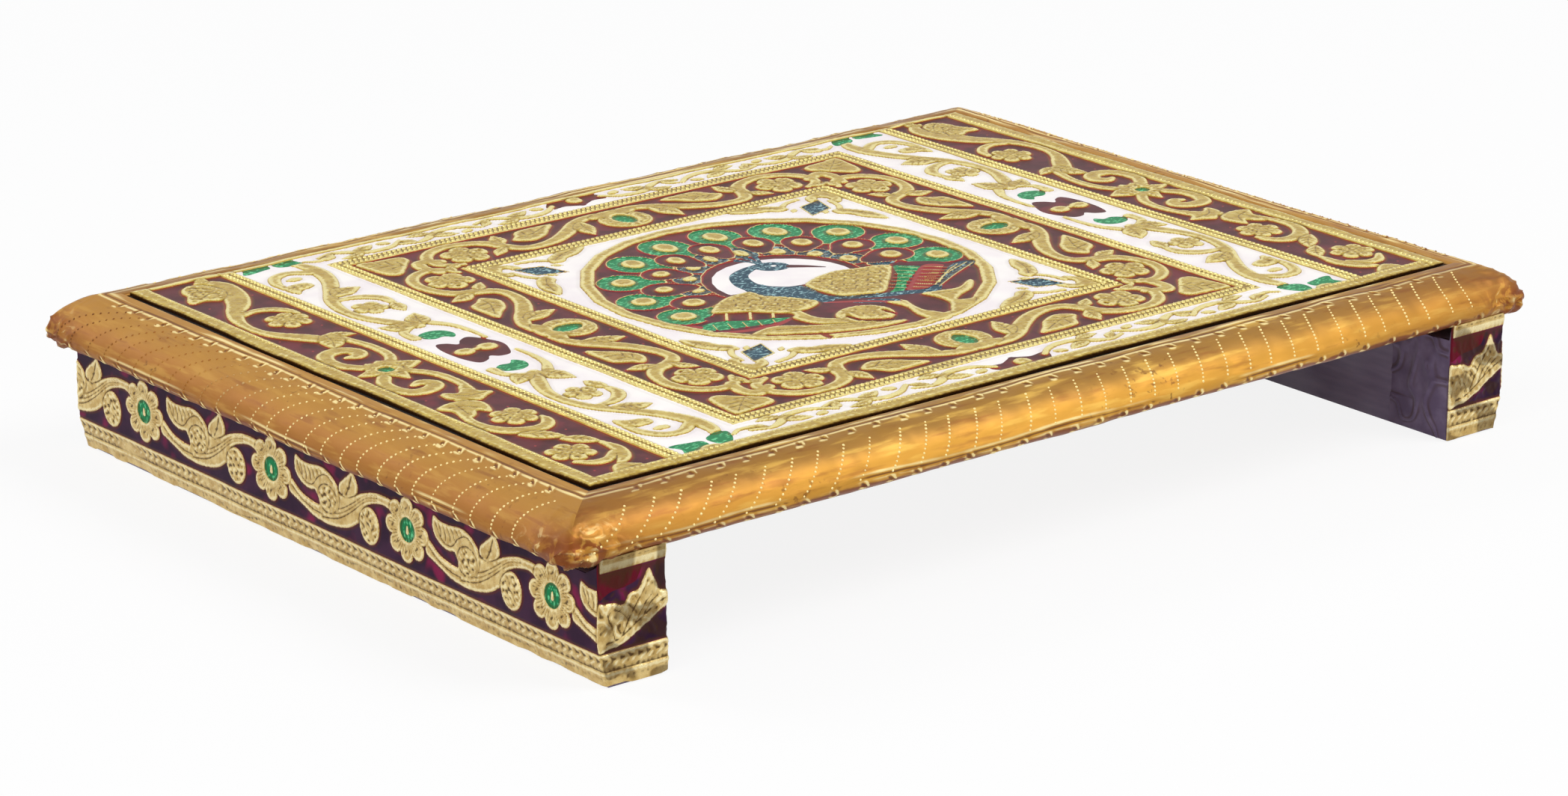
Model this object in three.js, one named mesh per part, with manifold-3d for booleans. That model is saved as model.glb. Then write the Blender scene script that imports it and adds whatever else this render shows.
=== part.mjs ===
// A chowki: a low rectangular stool for a shrine or a ceremony, in millimetres, +Z up.
// A plank stands on two runners and is edged with mitred bullnose mouldings under folded foil.
// Embossed and enamelled metal sheet faces the top and wraps both runners.
// X runs along the long side, -Y is the front, and the floor is Z = 0.
import * as THREE from 'three';
import { mergeVertices } from 'three/addons/utils/BufferGeometryUtils.js';
import Module from 'manifold-3d';

// Driving dimensions
const LENGTH = 381;
const DEPTH = 275;
const BOARD_THICKNESS = 18.4;
const MOULDING_WIDTH = 18;
const NOSE_HEIGHT = 43;
const CORNER_RADIUS = 5;
const RUNNER_HEIGHT = 33.6;
const RUNNER_THICKNESS = 25;
const RUNNER_INSET = 7.5;
const RUNNER_END_INSET = 1;
const FOOT_INSET = 3.2;
const FOOT_RISE = 11;
const SHEET_THICKNESS = 0.6;
const FOIL_THICKNESS = 0.5;
const RELIEF = 0.5;
const SHEET_LIFT = 0.4;
const GAP = 0.3;

// Places that follow from the driving dimensions
const PANEL_HALF_LENGTH = LENGTH / 2 - MOULDING_WIDTH;
const PANEL_HALF_DEPTH = DEPTH / 2 - MOULDING_WIDTH;
const BOARD_BOTTOM = RUNNER_HEIGHT + GAP;
const BOARD_TOP = BOARD_BOTTOM + BOARD_THICKNESS;
const SHEET_BOTTOM = BOARD_TOP + GAP;
const SHEET_TOP = SHEET_BOTTOM + SHEET_THICKNESS;
const MOULDING_TOP = SHEET_TOP + 0.1;
const RUNNER_OUTER = LENGTH / 2 - RUNNER_INSET;
const RUNNER_INNER = RUNNER_OUTER - RUNNER_THICKNESS;
const RUNNER_HALF_LENGTH = DEPTH / 2 - RUNNER_END_INSET;
const WOOD_INSET = SHEET_THICKNESS + GAP;

// The layout of the embossed top sheet: half widths of its frames about the pattern's centre
const PATTERN_SHIFT_BACK = 2;
const BEAD_LINE = 5.5;
const SIDE_STRIP_OUTER = 166;
const SIDE_STRIP_INNER = 140;
const SQUARE_OUTER = [101.3, 98.2];
const SQUARE_INNER = [76, 73.5];
const RING_OUTER = 66.5;
const RING_INNER = 61.8;
const RING_SHIFT_LEFT = 1;
const RIM_FRONT = 6.5;
const RIM_BACK = 2.5;

// Runner sheet
const RETURN_LENGTH = 26;
const BAND_RIB_HEIGHT = 1.4;
const FLOWER_COUNT = 4;
const FLOWER_PITCH = 70.5;
const FLOWER_SHIFT = { right: -11.3, left: 9.4 };
const FLOWER_RADIUS = 9.2;
const FLOWER_HEIGHT = 22.5;
const FLAP_TOP = 37.6;
const FLAP_LENGTH = 6;

// Fasteners: head radius, head height, shank radius, full length
const RUNNER_NAIL = { head: 4, rise: 1.2, shank: 1.6, length: 34 };
const EDGE_BRAD = { head: 1.6, rise: 1, shank: 1, length: 26 };
const FOIL_TACK = { head: 2.2, rise: 0.9, shank: 0.7, length: 6 };
const FASTENER_SIDES = 10;
const RUNNER_NAIL_PITCH = 95;
const TACK_LINE = 5.5;

const COLOURS = {
  wood: { color: 0x9a6b3f, roughness: 0.75, metalness: 0 },
  foil: { color: 0xc8964b, roughness: 0.35, metalness: 0.9 },
  enamel: { color: 0x55343e, roughness: 0.25, metalness: 0.2 },
  runnerEnamel: { color: 0x3c233e, roughness: 0.25, metalness: 0.2 },
  paint: { color: 0x463c46, roughness: 0.6, metalness: 0 },
  steel: { color: 0x8c8c90, roughness: 0.4, metalness: 1 },
  brass: { color: 0xb98a3c, roughness: 0.35, metalness: 1 },
};

const wasm = await Module();
wasm.setup();
const chowki = new THREE.Group();

function toSolid(geometry) {
  const bare = geometry.clone();
  bare.deleteAttribute('normal');
  bare.deleteAttribute('uv');
  const merged = mergeVertices(bare, 1e-4);
  return new wasm.Manifold(new wasm.Mesh({
    numProp: 3,
    vertProperties: merged.attributes.position.array,
    triVerts: Uint32Array.from(merged.index.array),
  }));
}

function toGeometry(solid) {
  const mesh = solid.getMesh();
  const geometry = new THREE.BufferGeometry();
  geometry.setAttribute('position', new THREE.BufferAttribute(mesh.vertProperties, 3));
  geometry.setIndex(new THREE.BufferAttribute(mesh.triVerts, 1));
  geometry.computeVertexNormals();
  return geometry;
}

function addPiece(name, geometry, finish, turn = 0) {
  const mesh = new THREE.Mesh(geometry, new THREE.MeshStandardMaterial(COLOURS[finish]));
  mesh.name = name;
  mesh.rotation.z = turn;
  chowki.add(mesh);
  return mesh;
}

// A box between two corners
function block(low, high) {
  const size = high.map((value, i) => value - low[i]);
  const box = new THREE.BoxGeometry(...size);
  box.translate(...low.map((value, i) => value + size[i] / 2));
  return box;
}

// A nail with its head's top at the origin and its shank down -Z, made larger for a bore
function fastener(kind, clearance = 0, headRoom = 0) {
  const { head, rise, shank, length } = kind;
  const profile = [
    [0, headRoom],
    [head + clearance, headRoom],
    [head + clearance, -rise - clearance],
    [shank + clearance, -rise - clearance],
    [shank + clearance, -length + shank],
    [0, -length - clearance],
  ].map(([r, z]) => new THREE.Vector2(r, z));
  const nail = new THREE.LatheGeometry(profile.reverse(), FASTENER_SIDES);
  nail.rotateX(Math.PI / 2);
  return nail;
}

// Points of an elliptical arc, angles in degrees from the +u axis towards +z
function arc(centre, radii, from, to, steps) {
  return Array.from({ length: steps + 1 }, (_, k) => {
    const angle = THREE.MathUtils.degToRad(from + ((to - from) * k) / steps);
    return new THREE.Vector2(centre[0] + radii[0] * Math.cos(angle), centre[1] + radii[1] * Math.sin(angle));
  });
}

// The bullnose in section, from the groove beside the panel over the nose to the underside.
// u runs outwards from the panel's edge, and inset moves the line inside the foil's face.
const GROOVE_FACE = 0.4;
const GROOVE_DEPTH = 2.6;
const LIP_RADIUS = 1.5;
const CROWN_START = 3.5;
const UNDERCUT_START = 9;
function bullnose(inset, grooveEnd) {
  const lip = [GROOVE_FACE + LIP_RADIUS, MOULDING_TOP - LIP_RADIUS];
  const crown = [MOULDING_WIDTH - CROWN_START - inset, MOULDING_TOP - NOSE_HEIGHT - inset];
  const under = [MOULDING_WIDTH - UNDERCUT_START - inset, NOSE_HEIGHT - BOARD_BOTTOM - inset];
  return [
    new THREE.Vector2(GROOVE_FACE + inset, grooveEnd),
    ...arc(lip, [LIP_RADIUS - inset, LIP_RADIUS - inset], 180, 90, 3),
    ...arc([CROWN_START, NOSE_HEIGHT], crown, 90, 0, 11),
    ...arc([UNDERCUT_START, NOSE_HEIGHT], under, 0, -90, 9).slice(1),
  ];
}

// The space inside the foil's outer face, from the groove to the hem
function foilOuterSection() {
  const hemStart = 2;
  return [...bullnose(0, MOULDING_TOP - GROOVE_DEPTH), new THREE.Vector2(hemStart, BOARD_BOTTOM)];
}

// The space that the foil is folded round, open towards the panel
function foilInnerSection() {
  const openEnd = MOULDING_TOP - GROOVE_DEPTH;
  return [
    new THREE.Vector2(-1, openEnd),
    ...bullnose(FOIL_THICKNESS, openEnd),
    new THREE.Vector2(-1, BOARD_BOTTOM + FOIL_THICKNESS),
  ];
}

function woodSection() {
  const inset = FOIL_THICKNESS + GAP;
  const rebate = MOULDING_TOP - GROOVE_DEPTH - GAP;
  return [
    ...bullnose(inset, rebate),
    new THREE.Vector2(GAP, BOARD_BOTTOM + inset),
    new THREE.Vector2(GAP, rebate),
  ];
}

// The whole moulding with room round it, to cut clearance into what ends beneath it
function clearanceSection() {
  return [
    ...bullnose(-GAP, BOARD_BOTTOM),
    new THREE.Vector2(GROOVE_FACE, BOARD_BOTTOM - GAP),
  ];
}

// Sweeps a section along one side of the board, cut at 45 degrees at both ends
function mitred(section, halfRun, distance) {
  const outline = THREE.ShapeUtils.isClockWise(section) ? [...section].reverse() : section;
  const count = outline.length;
  const ends = [-1, 1].flatMap((side) => outline.flatMap(({ x: u, y: z }) => {
    const reach = halfRun + u - GAP * Math.SQRT1_2;
    return [side * reach, -(distance + u), z];
  }));
  const faces = [];
  for (let i = 0; i < count; i += 1) {
    const next = (i + 1) % count;
    faces.push(i, count + next, next, i, count + i, count + next);
  }
  for (const [a, b, c] of THREE.ShapeUtils.triangulateShape(outline, [])) {
    faces.push(a, b, c, count + c, count + b, count + a);
  }
  const geometry = new THREE.BufferGeometry();
  geometry.setAttribute('position', new THREE.Float32BufferAttribute(ends, 3));
  geometry.setIndex(faces);
  geometry.computeVertexNormals();
  return geometry;
}

// A block with the stool's outline seen from above, its corners rounded, drawn in by an inset
function roundedBlank(inset) {
  const [x, y] = [LENGTH / 2 - inset, DEPTH / 2 - inset];
  const radius = CORNER_RADIUS - inset;
  const shape = new THREE.Shape();
  shape.moveTo(-x + radius, -y);
  shape.lineTo(x - radius, -y);
  shape.absarc(x - radius, -y + radius, radius, -Math.PI / 2, 0);
  shape.absarc(x - radius, y - radius, radius, 0, Math.PI / 2);
  shape.absarc(-x + radius, y - radius, radius, Math.PI / 2, Math.PI);
  shape.absarc(-x + radius, -y + radius, radius, Math.PI, Math.PI * 1.5);
  const height = 2 * RUNNER_HEIGHT;
  return toSolid(new THREE.ExtrudeGeometry(shape, { depth: height, bevelEnabled: false, curveSegments: 6 }));
}

const SIDES = [
  { name: 'front', turn: 0, halfRun: PANEL_HALF_LENGTH, distance: PANEL_HALF_DEPTH, brads: 4, tacks: 5 },
  { name: 'right', turn: Math.PI / 2, halfRun: PANEL_HALF_DEPTH, distance: PANEL_HALF_LENGTH, brads: 2, tacks: 0 },
  { name: 'back', turn: Math.PI, halfRun: PANEL_HALF_LENGTH, distance: PANEL_HALF_DEPTH, brads: 4, tacks: 5 },
  { name: 'left', turn: -Math.PI / 2, halfRun: PANEL_HALF_DEPTH, distance: PANEL_HALF_LENGTH, brads: 2, tacks: 0 },
];

// Even places along a run, kept clear of its two ends
function spaced(count, halfRun) {
  return Array.from({ length: count }, (_, k) => halfRun * ((2 * k + 1) / count - 1));
}

// A brad goes level through the nose of a moulding into the edge of the board
function placeBrad(geometry, along, distance) {
  const recess = 2;
  geometry.rotateX(Math.PI / 2);
  geometry.translate(along, -(distance + MOULDING_WIDTH - recess), NOSE_HEIGHT + 1.5);
  return geometry;
}

// A tack goes up through the foil's hem into the moulding, with its head below
function placeTack(geometry, along, distance) {
  geometry.rotateX(Math.PI);
  geometry.translate(along, -(distance + TACK_LINE), BOARD_BOTTOM - FOIL_TACK.rise - GAP);
  return geometry;
}

const boardCuts = [];

// Mouldings, the foil round each of them, and what fastens them.
// On the left and right the runners hold the hem, so only the front and back have tacks.
const woodBlank = roundedBlank(FOIL_THICKNESS + GAP);
const foilBlank = roundedBlank(0);
const foilHollow = roundedBlank(FOIL_THICKNESS);
for (const side of SIDES) {
  const { name, turn, halfRun, distance } = side;
  const upright = (blank) => blank.rotate([0, 0, -THREE.MathUtils.radToDeg(turn)]);
  let wood = toSolid(mitred(woodSection(), halfRun, distance)).intersect(upright(woodBlank));
  const within = toSolid(mitred(foilInnerSection(), halfRun + 1, distance)).intersect(upright(foilHollow));
  let foil = toSolid(mitred(foilOuterSection(), halfRun, distance)).intersect(upright(foilBlank)).subtract(within);
  spaced(side.brads, halfRun).forEach((along, k) => {
    const bore = toSolid(placeBrad(fastener(EDGE_BRAD, GAP, 12), along, distance));
    wood = wood.subtract(bore);
    const cut = placeBrad(fastener(EDGE_BRAD, GAP), along, distance);
    cut.rotateZ(turn);
    boardCuts.push(cut);
    addPiece(`edge_brad_${name}_${k + 1}`, placeBrad(fastener(EDGE_BRAD), along, distance), 'steel', turn);
  });
  spaced(side.tacks, halfRun).forEach((along, k) => {
    const bore = toSolid(placeTack(fastener({ ...FOIL_TACK, head: FOIL_TACK.shank }, GAP, 2), along, distance));
    wood = wood.subtract(bore);
    foil = foil.subtract(bore);
    addPiece(`foil_tack_${name}_${k + 1}`, placeTack(fastener(FOIL_TACK), along, distance), 'brass', turn);
  });
  addPiece(`edge_moulding_${name}`, toGeometry(wood), 'wood', turn);
  addPiece(`moulding_foil_${name}`, toGeometry(foil), 'foil', turn);
}

// The runner in section: upright, with its foot drawn in on the outer side
function runnerSection(inset, low, high) {
  const outer = RUNNER_OUTER - inset;
  const inner = RUNNER_INNER + inset;
  const section = new THREE.Shape();
  section.moveTo(inner, low);
  section.lineTo(outer - FOOT_INSET, low);
  section.quadraticCurveTo(outer - FOOT_INSET / 6, FOOT_RISE * 0.6, outer, FOOT_RISE);
  section.lineTo(outer, high);
  section.lineTo(inner, high);
  section.closePath();
  return section;
}

function extrudeAlongY(section, halfLength) {
  const bar = new THREE.ExtrudeGeometry(section, { depth: 2 * halfLength, bevelEnabled: false, curveSegments: 6 });
  bar.translate(0, 0, -halfLength);
  bar.rotateX(Math.PI / 2);
  return bar;
}

// A low scalloped boss, the round flower of the runner's embossed row
function flowerBoss(along) {
  const outline = new THREE.Shape(Array.from({ length: 48 }, (_, k) => {
    const angle = (2 * Math.PI * k) / 48;
    const radius = FLOWER_RADIUS * (1 + 0.06 * Math.cos(8 * angle));
    return new THREE.Vector2(radius * Math.cos(angle), radius * Math.sin(angle));
  }));
  const boss = new THREE.ExtrudeGeometry(outline, { depth: RELIEF + GAP, bevelEnabled: false });
  boss.rotateY(Math.PI / 2);
  boss.translate(RUNNER_OUTER - GAP, along, FLOWER_HEIGHT);
  return boss;
}

function runnerNailPlaces() {
  return [-1, 0, 1].map((k) => k * RUNNER_NAIL_PITCH);
}

const nailLine = (PANEL_HALF_LENGTH + RUNNER_INNER) / 2;
const NAIL_HEAD_TOP = BOARD_TOP - 0.2;

function placeRunnerNail(geometry, along) {
  geometry.translate(nailLine, along, NAIL_HEAD_TOP);
  return geometry;
}

for (const [name, turn] of [['right', 0], ['left', Math.PI]]) {
  const half = RUNNER_HALF_LENGTH;
  let core = toSolid(extrudeAlongY(runnerSection(WOOD_INSET, 0, RUNNER_HEIGHT), half - WOOD_INSET));
  runnerNailPlaces().forEach((along, k) => {
    const bore = toSolid(placeRunnerNail(fastener(RUNNER_NAIL, GAP, 2), along));
    core = core.subtract(bore);
    const cut = placeRunnerNail(fastener(RUNNER_NAIL, GAP, 2), along);
    cut.rotateZ(turn);
    boardCuts.push(cut);
    addPiece(`runner_nail_${name}_${k + 1}`, placeRunnerNail(fastener(RUNNER_NAIL), along), 'steel', turn);
  });
  addPiece(`runner_${name}`, toGeometry(core), 'paint', turn);

  // The sheet wraps the outer face and both ends, and returns a little on the inner face.
  // At both ends it stands higher, up to the underside of the mouldings.
  const rib = block(
    [RUNNER_INNER, -half - RELIEF, FOOT_RISE],
    [RUNNER_OUTER + RELIEF, half + RELIEF, FOOT_RISE + BAND_RIB_HEIGHT],
  );
  const window = block([RUNNER_INNER - 1, RETURN_LENGTH - half, -1], [RUNNER_INNER + 2, half - RETURN_LENGTH, 40]);
  const hollow = extrudeAlongY(runnerSection(SHEET_THICKNESS, -1, FLAP_TOP + 1), half - SHEET_THICKNESS);
  const headroom = block([RUNNER_INNER - 1, FLAP_LENGTH - half, RUNNER_HEIGHT], [RUNNER_OUTER + 1, half - FLAP_LENGTH, 40]);
  let wrap = toSolid(extrudeAlongY(runnerSection(0, SHEET_LIFT, FLAP_TOP), half)).add(toSolid(rib));
  for (const along of spaced(FLOWER_COUNT, (FLOWER_COUNT * FLOWER_PITCH) / 2)) {
    wrap = wrap.add(toSolid(flowerBoss(along + FLOWER_SHIFT[name])));
  }
  wrap = wrap.subtract(toSolid(hollow)).subtract(toSolid(window)).subtract(toSolid(headroom));
  for (const { turn: sideTurn, halfRun, distance } of SIDES) {
    wrap = wrap.subtract(toSolid(mitred(clearanceSection(), halfRun, distance).rotateZ(sideTurn)));
  }
  addPiece(`runner_sheet_${name}`, toGeometry(wrap), 'runnerEnamel', turn);
}

// The board, bored for the runner nails and the edge brads
const plank = block(
  [-PANEL_HALF_LENGTH, -PANEL_HALF_DEPTH, BOARD_BOTTOM],
  [PANEL_HALF_LENGTH, PANEL_HALF_DEPTH, BOARD_TOP],
);
const board = boardCuts.reduce((solid, cut) => solid.subtract(toSolid(cut)), toSolid(plank));
addPiece('board', toGeometry(board), 'wood');

// A flat frame between two outlines, raised above the sheet
function raised(outer, holes) {
  const shape = new THREE.Shape(outer);
  shape.holes = holes.map((hole) => new THREE.Path(hole));
  const frame = new THREE.ExtrudeGeometry(shape, { depth: SHEET_THICKNESS / 2 + RELIEF, bevelEnabled: false });
  frame.translate(0, 0, SHEET_TOP - SHEET_THICKNESS / 2);
  return frame;
}

function rectangle(x0, y0, x1, y1) {
  return [[x0, y0], [x1, y0], [x1, y1], [x0, y1]].map(([x, y]) => new THREE.Vector2(x, y));
}

function patternFrame([halfX, halfY], width) {
  const centre = PATTERN_SHIFT_BACK;
  const outer = rectangle(-halfX, centre - halfY, halfX, centre + halfY);
  const inner = rectangle(width - halfX, centre - halfY + width, halfX - width, centre + halfY - width);
  return raised(outer, [inner]);
}

function circle(radius) {
  return arc([-RING_SHIFT_LEFT, PATTERN_SHIFT_BACK], [radius, radius], 0, 360, 72).slice(0, -1);
}

// The top sheet with its main raised lines: rim, strip lines, two square frames and the medallion ring
const sheetPlate = block(
  [-PANEL_HALF_LENGTH, -PANEL_HALF_DEPTH, SHEET_BOTTOM],
  [PANEL_HALF_LENGTH, PANEL_HALF_DEPTH, SHEET_TOP],
);
const rimLow = RIM_FRONT - PANEL_HALF_DEPTH;
const rimHigh = PANEL_HALF_DEPTH - RIM_BACK;
const rim = raised(
  rectangle(-PANEL_HALF_LENGTH, -PANEL_HALF_DEPTH, PANEL_HALF_LENGTH, PANEL_HALF_DEPTH),
  [rectangle(-SIDE_STRIP_OUTER, rimLow, SIDE_STRIP_OUTER, rimHigh)],
);
const stripLines = [-1, 1].map((side) => {
  const edges = [side * SIDE_STRIP_INNER, side * (SIDE_STRIP_INNER - BEAD_LINE)].sort((a, b) => a - b);
  return raised(rectangle(edges[0], rimLow - 1, edges[1], rimHigh + 1), []);
});
const squareFrames = [
  patternFrame([SQUARE_OUTER[0] + BEAD_LINE, SQUARE_OUTER[1] + BEAD_LINE], BEAD_LINE),
  patternFrame(SQUARE_INNER, BEAD_LINE),
];
const ring = raised(circle(RING_OUTER), [circle(RING_INNER)]);
const topSheet = [rim, ...stripLines, ...squareFrames, ring]
  .reduce((solid, part) => solid.add(toSolid(part)), toSolid(sheetPlate));
addPiece('top_sheet', toGeometry(topSheet), 'enamel');

export default chowki;
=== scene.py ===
"""A chowki: a low rectangular stool for a shrine or a ceremony, dressed in embossed and enamelled metal.

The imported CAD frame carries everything. The board, the runners, the nails and the brads keep their CAD
meshes and get materials here. The top sheet, the runner sheets, the mouldings, their foils and the tacks
under them are made again, with relief, folds and punched dots. Lengths are in millimetres until a mesh is
made. The points of the drawn pattern stand in texts, as "x,y x,y", or "x,y,half width" for vines.
"""

import logging
import math
from dataclasses import dataclass, field
from enum import Enum
from typing import Callable, Iterable, Optional, Sequence

import bpy
import numpy as np
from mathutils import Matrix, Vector


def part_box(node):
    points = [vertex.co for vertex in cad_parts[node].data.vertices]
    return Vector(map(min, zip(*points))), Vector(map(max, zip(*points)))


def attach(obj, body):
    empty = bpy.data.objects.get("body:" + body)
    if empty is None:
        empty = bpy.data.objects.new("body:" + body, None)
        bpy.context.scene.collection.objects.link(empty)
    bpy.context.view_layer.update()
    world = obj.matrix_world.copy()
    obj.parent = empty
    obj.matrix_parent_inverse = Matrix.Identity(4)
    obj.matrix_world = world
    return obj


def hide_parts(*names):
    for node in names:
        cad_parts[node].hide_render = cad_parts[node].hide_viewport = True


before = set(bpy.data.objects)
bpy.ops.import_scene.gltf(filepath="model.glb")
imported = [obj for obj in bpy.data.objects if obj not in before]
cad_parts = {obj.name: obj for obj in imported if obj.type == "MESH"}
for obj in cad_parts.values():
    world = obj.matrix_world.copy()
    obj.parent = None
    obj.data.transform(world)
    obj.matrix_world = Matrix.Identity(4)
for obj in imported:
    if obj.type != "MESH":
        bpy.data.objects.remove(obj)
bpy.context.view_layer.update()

MM = 0.001
BODY = "root"
LOG = logging.getLogger("chowki")

SHARP_ANGLE = math.radians(50)

Point = tuple[float, float]
Three = tuple[float, float, float]
Colour = tuple[float, float, float, float]
Window = tuple[slice, slice]
Row = str | Sequence[float]
Socket = bpy.types.NodeSocket
Material = bpy.types.Material
Piece = bpy.types.Object
Array = np.ndarray


class Enamel(Enum):
    """The colours laid on the embossed sheet. Where none is laid, the ground colour shows."""

    WHITE = "white"
    GREEN = "green"
    BLUE = "blue"
    RED = "red"
    CRIMSON = "crimson"
    PAINT = "paint"
    GOLD = "gold"


class Slot(Enum):
    """The material slots named for the new pieces."""

    TOP = "top_enamel"
    RUNNER = "runner_enamel"
    FOIL = "gold_foil"
    WOOD = "moulding_wood"
    TACK = "tack_brass"


class Side(Enum):
    """The four sides of the stool, each with the turn that brings the front to it."""

    FRONT = 0.0
    RIGHT = math.pi / 2
    BACK = math.pi
    LEFT = -math.pi / 2

    @property
    def word(self) -> str:
        """The side's name as the CAD nodes write it."""
        return self.name.lower()


def grid_step(step: float) -> float:
    return step


def even_line(low: float, high: float, step: float) -> Array:
    """Evenly spaced values from low to high, no further apart than about step."""
    return np.linspace(low, high, max(2, int(round((high - low) / grid_step(step))) + 1))


def smooth_line(points: Sequence[Sequence[float]], closed: bool = False, per_span: int = 6) -> Array:
    """Samples a smooth curve that passes through its points.

    Args:
        points: rows of coordinates, and of anything else to carry along the curve.
        closed: whether the last point joins the first.
        per_span: samples from one point to the next.

    Returns:
        The samples, one row each.
    """
    p = np.asarray(points, float)
    if closed:
        padded = np.vstack([p[-1], p, p[0], p[1]])
    else:
        padded = np.vstack([2 * p[0] - p[1], p, 2 * p[-1] - p[-2]])
    t = np.arange(per_span)[:, None] / per_span
    spans = []
    for a, b, c, d in zip(padded, padded[1:], padded[2:], padded[3:]):
        square = (2 * a - 5 * b + 4 * c - d) * t**2
        cube = (3 * b - a - 3 * c + d) * t**3
        spans.append(0.5 * (2 * b + (c - a) * t + square + cube))
    line = np.vstack(spans)
    return line if closed else np.vstack([line, p[-1]])


def crests(height: Array, reach: int, depth: float = 0.12) -> Array:
    """Tells crests from hollows by comparing each height with those round it.

    Args:
        height: heights on a grid, in millimetres.
        reach: how many grid points the comparison reaches each way.
        depth: the difference that counts in full.

    Returns:
        Numbers from -1 in grooves and at the foot of relief to 1 on rims and beads.
    """
    mean = height
    for axis in (0, 1):
        pads = [(reach + 1, reach) if k == axis else (0, 0) for k in (0, 1)]
        total = np.cumsum(np.pad(mean, pads, mode="edge"), axis)
        size = mean.shape[axis]
        ahead = np.take(total, np.arange(2 * reach + 1, 2 * reach + 1 + size), axis)
        behind = np.take(total, np.arange(size), axis)
        mean = (ahead - behind) / (2 * reach + 1)
    return np.clip((height - mean) / depth, -1, 1)


def bell(distance: Array, width: float) -> Array:
    """A smooth bump, 1 in the middle and almost nothing two widths away."""
    return np.exp(-((distance / width) ** 2))


def numbers_in(*points: Row) -> Array:
    """Points as rows of numbers.

    Args:
        points: each a row, or a text that holds several, as in "1,2 3,4".

    Returns:
        The rows.
    """
    rows: list[Sequence] = []
    for point in points:
        rows += [row.split(",") for row in point.split()] if isinstance(point, str) else [point]
    return np.array(rows, float)


def raise_to(layer: Array, window: Window, values: Array) -> None:
    """Raises part of a layer to these values where they are higher."""
    layer[window] = np.maximum(layer[window], values)


def turned(angle: float) -> Array:
    """A turn about the vertical axis, to multiply rows of places by."""
    cos, sin = math.cos(angle), math.sin(angle)
    return np.array([[cos, sin, 0], [-sin, cos, 0], [0, 0, 1.0]])


class Waves:
    """Smooth seeded noise made of plane waves, about -1 to 1."""

    def __init__(self, seed: int, wavelength: float, count: int = 20) -> None:
        """Chooses the waves.

        Args:
            seed: the same seed gives the same noise.
            wavelength: the usual distance between crests, in millimetres.
            count: how many waves are added up.
        """
        random = np.random.default_rng(seed)
        heading = random.normal(size=(count, 3))
        heading /= np.linalg.norm(heading, axis=1, keepdims=True)
        lengths = wavelength * random.uniform(0.6, 1.6, count)
        self.waves = heading * (2 * math.pi / lengths)[:, None]
        self.phases = random.uniform(0, 2 * math.pi, count)
        self.share = 1.4 / math.sqrt(count)

    def at(self, x: Array, y: Array, z: Array | float = 0.0) -> Array:
        """The noise at these places.

        Args:
            x: the places' X, in millimetres.
            y: their Y.
            z: their height.

        Returns:
            The noise at each.
        """
        total = np.zeros(np.broadcast(x, y, z).shape)
        for (a, b, c), phase in zip(self.waves, self.phases):
            total += np.sin(a * x + b * y + c * z + phase)
        return total * self.share

    def ridges(self, x: Array, y: Array, z: Array | float = 0.0) -> Array:
        """Sharp crests between flat dents, 0 to 1, as in crumpled foil."""
        return 1 - np.clip(np.abs(self.at(x, y, z)), 0, 1)


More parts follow.
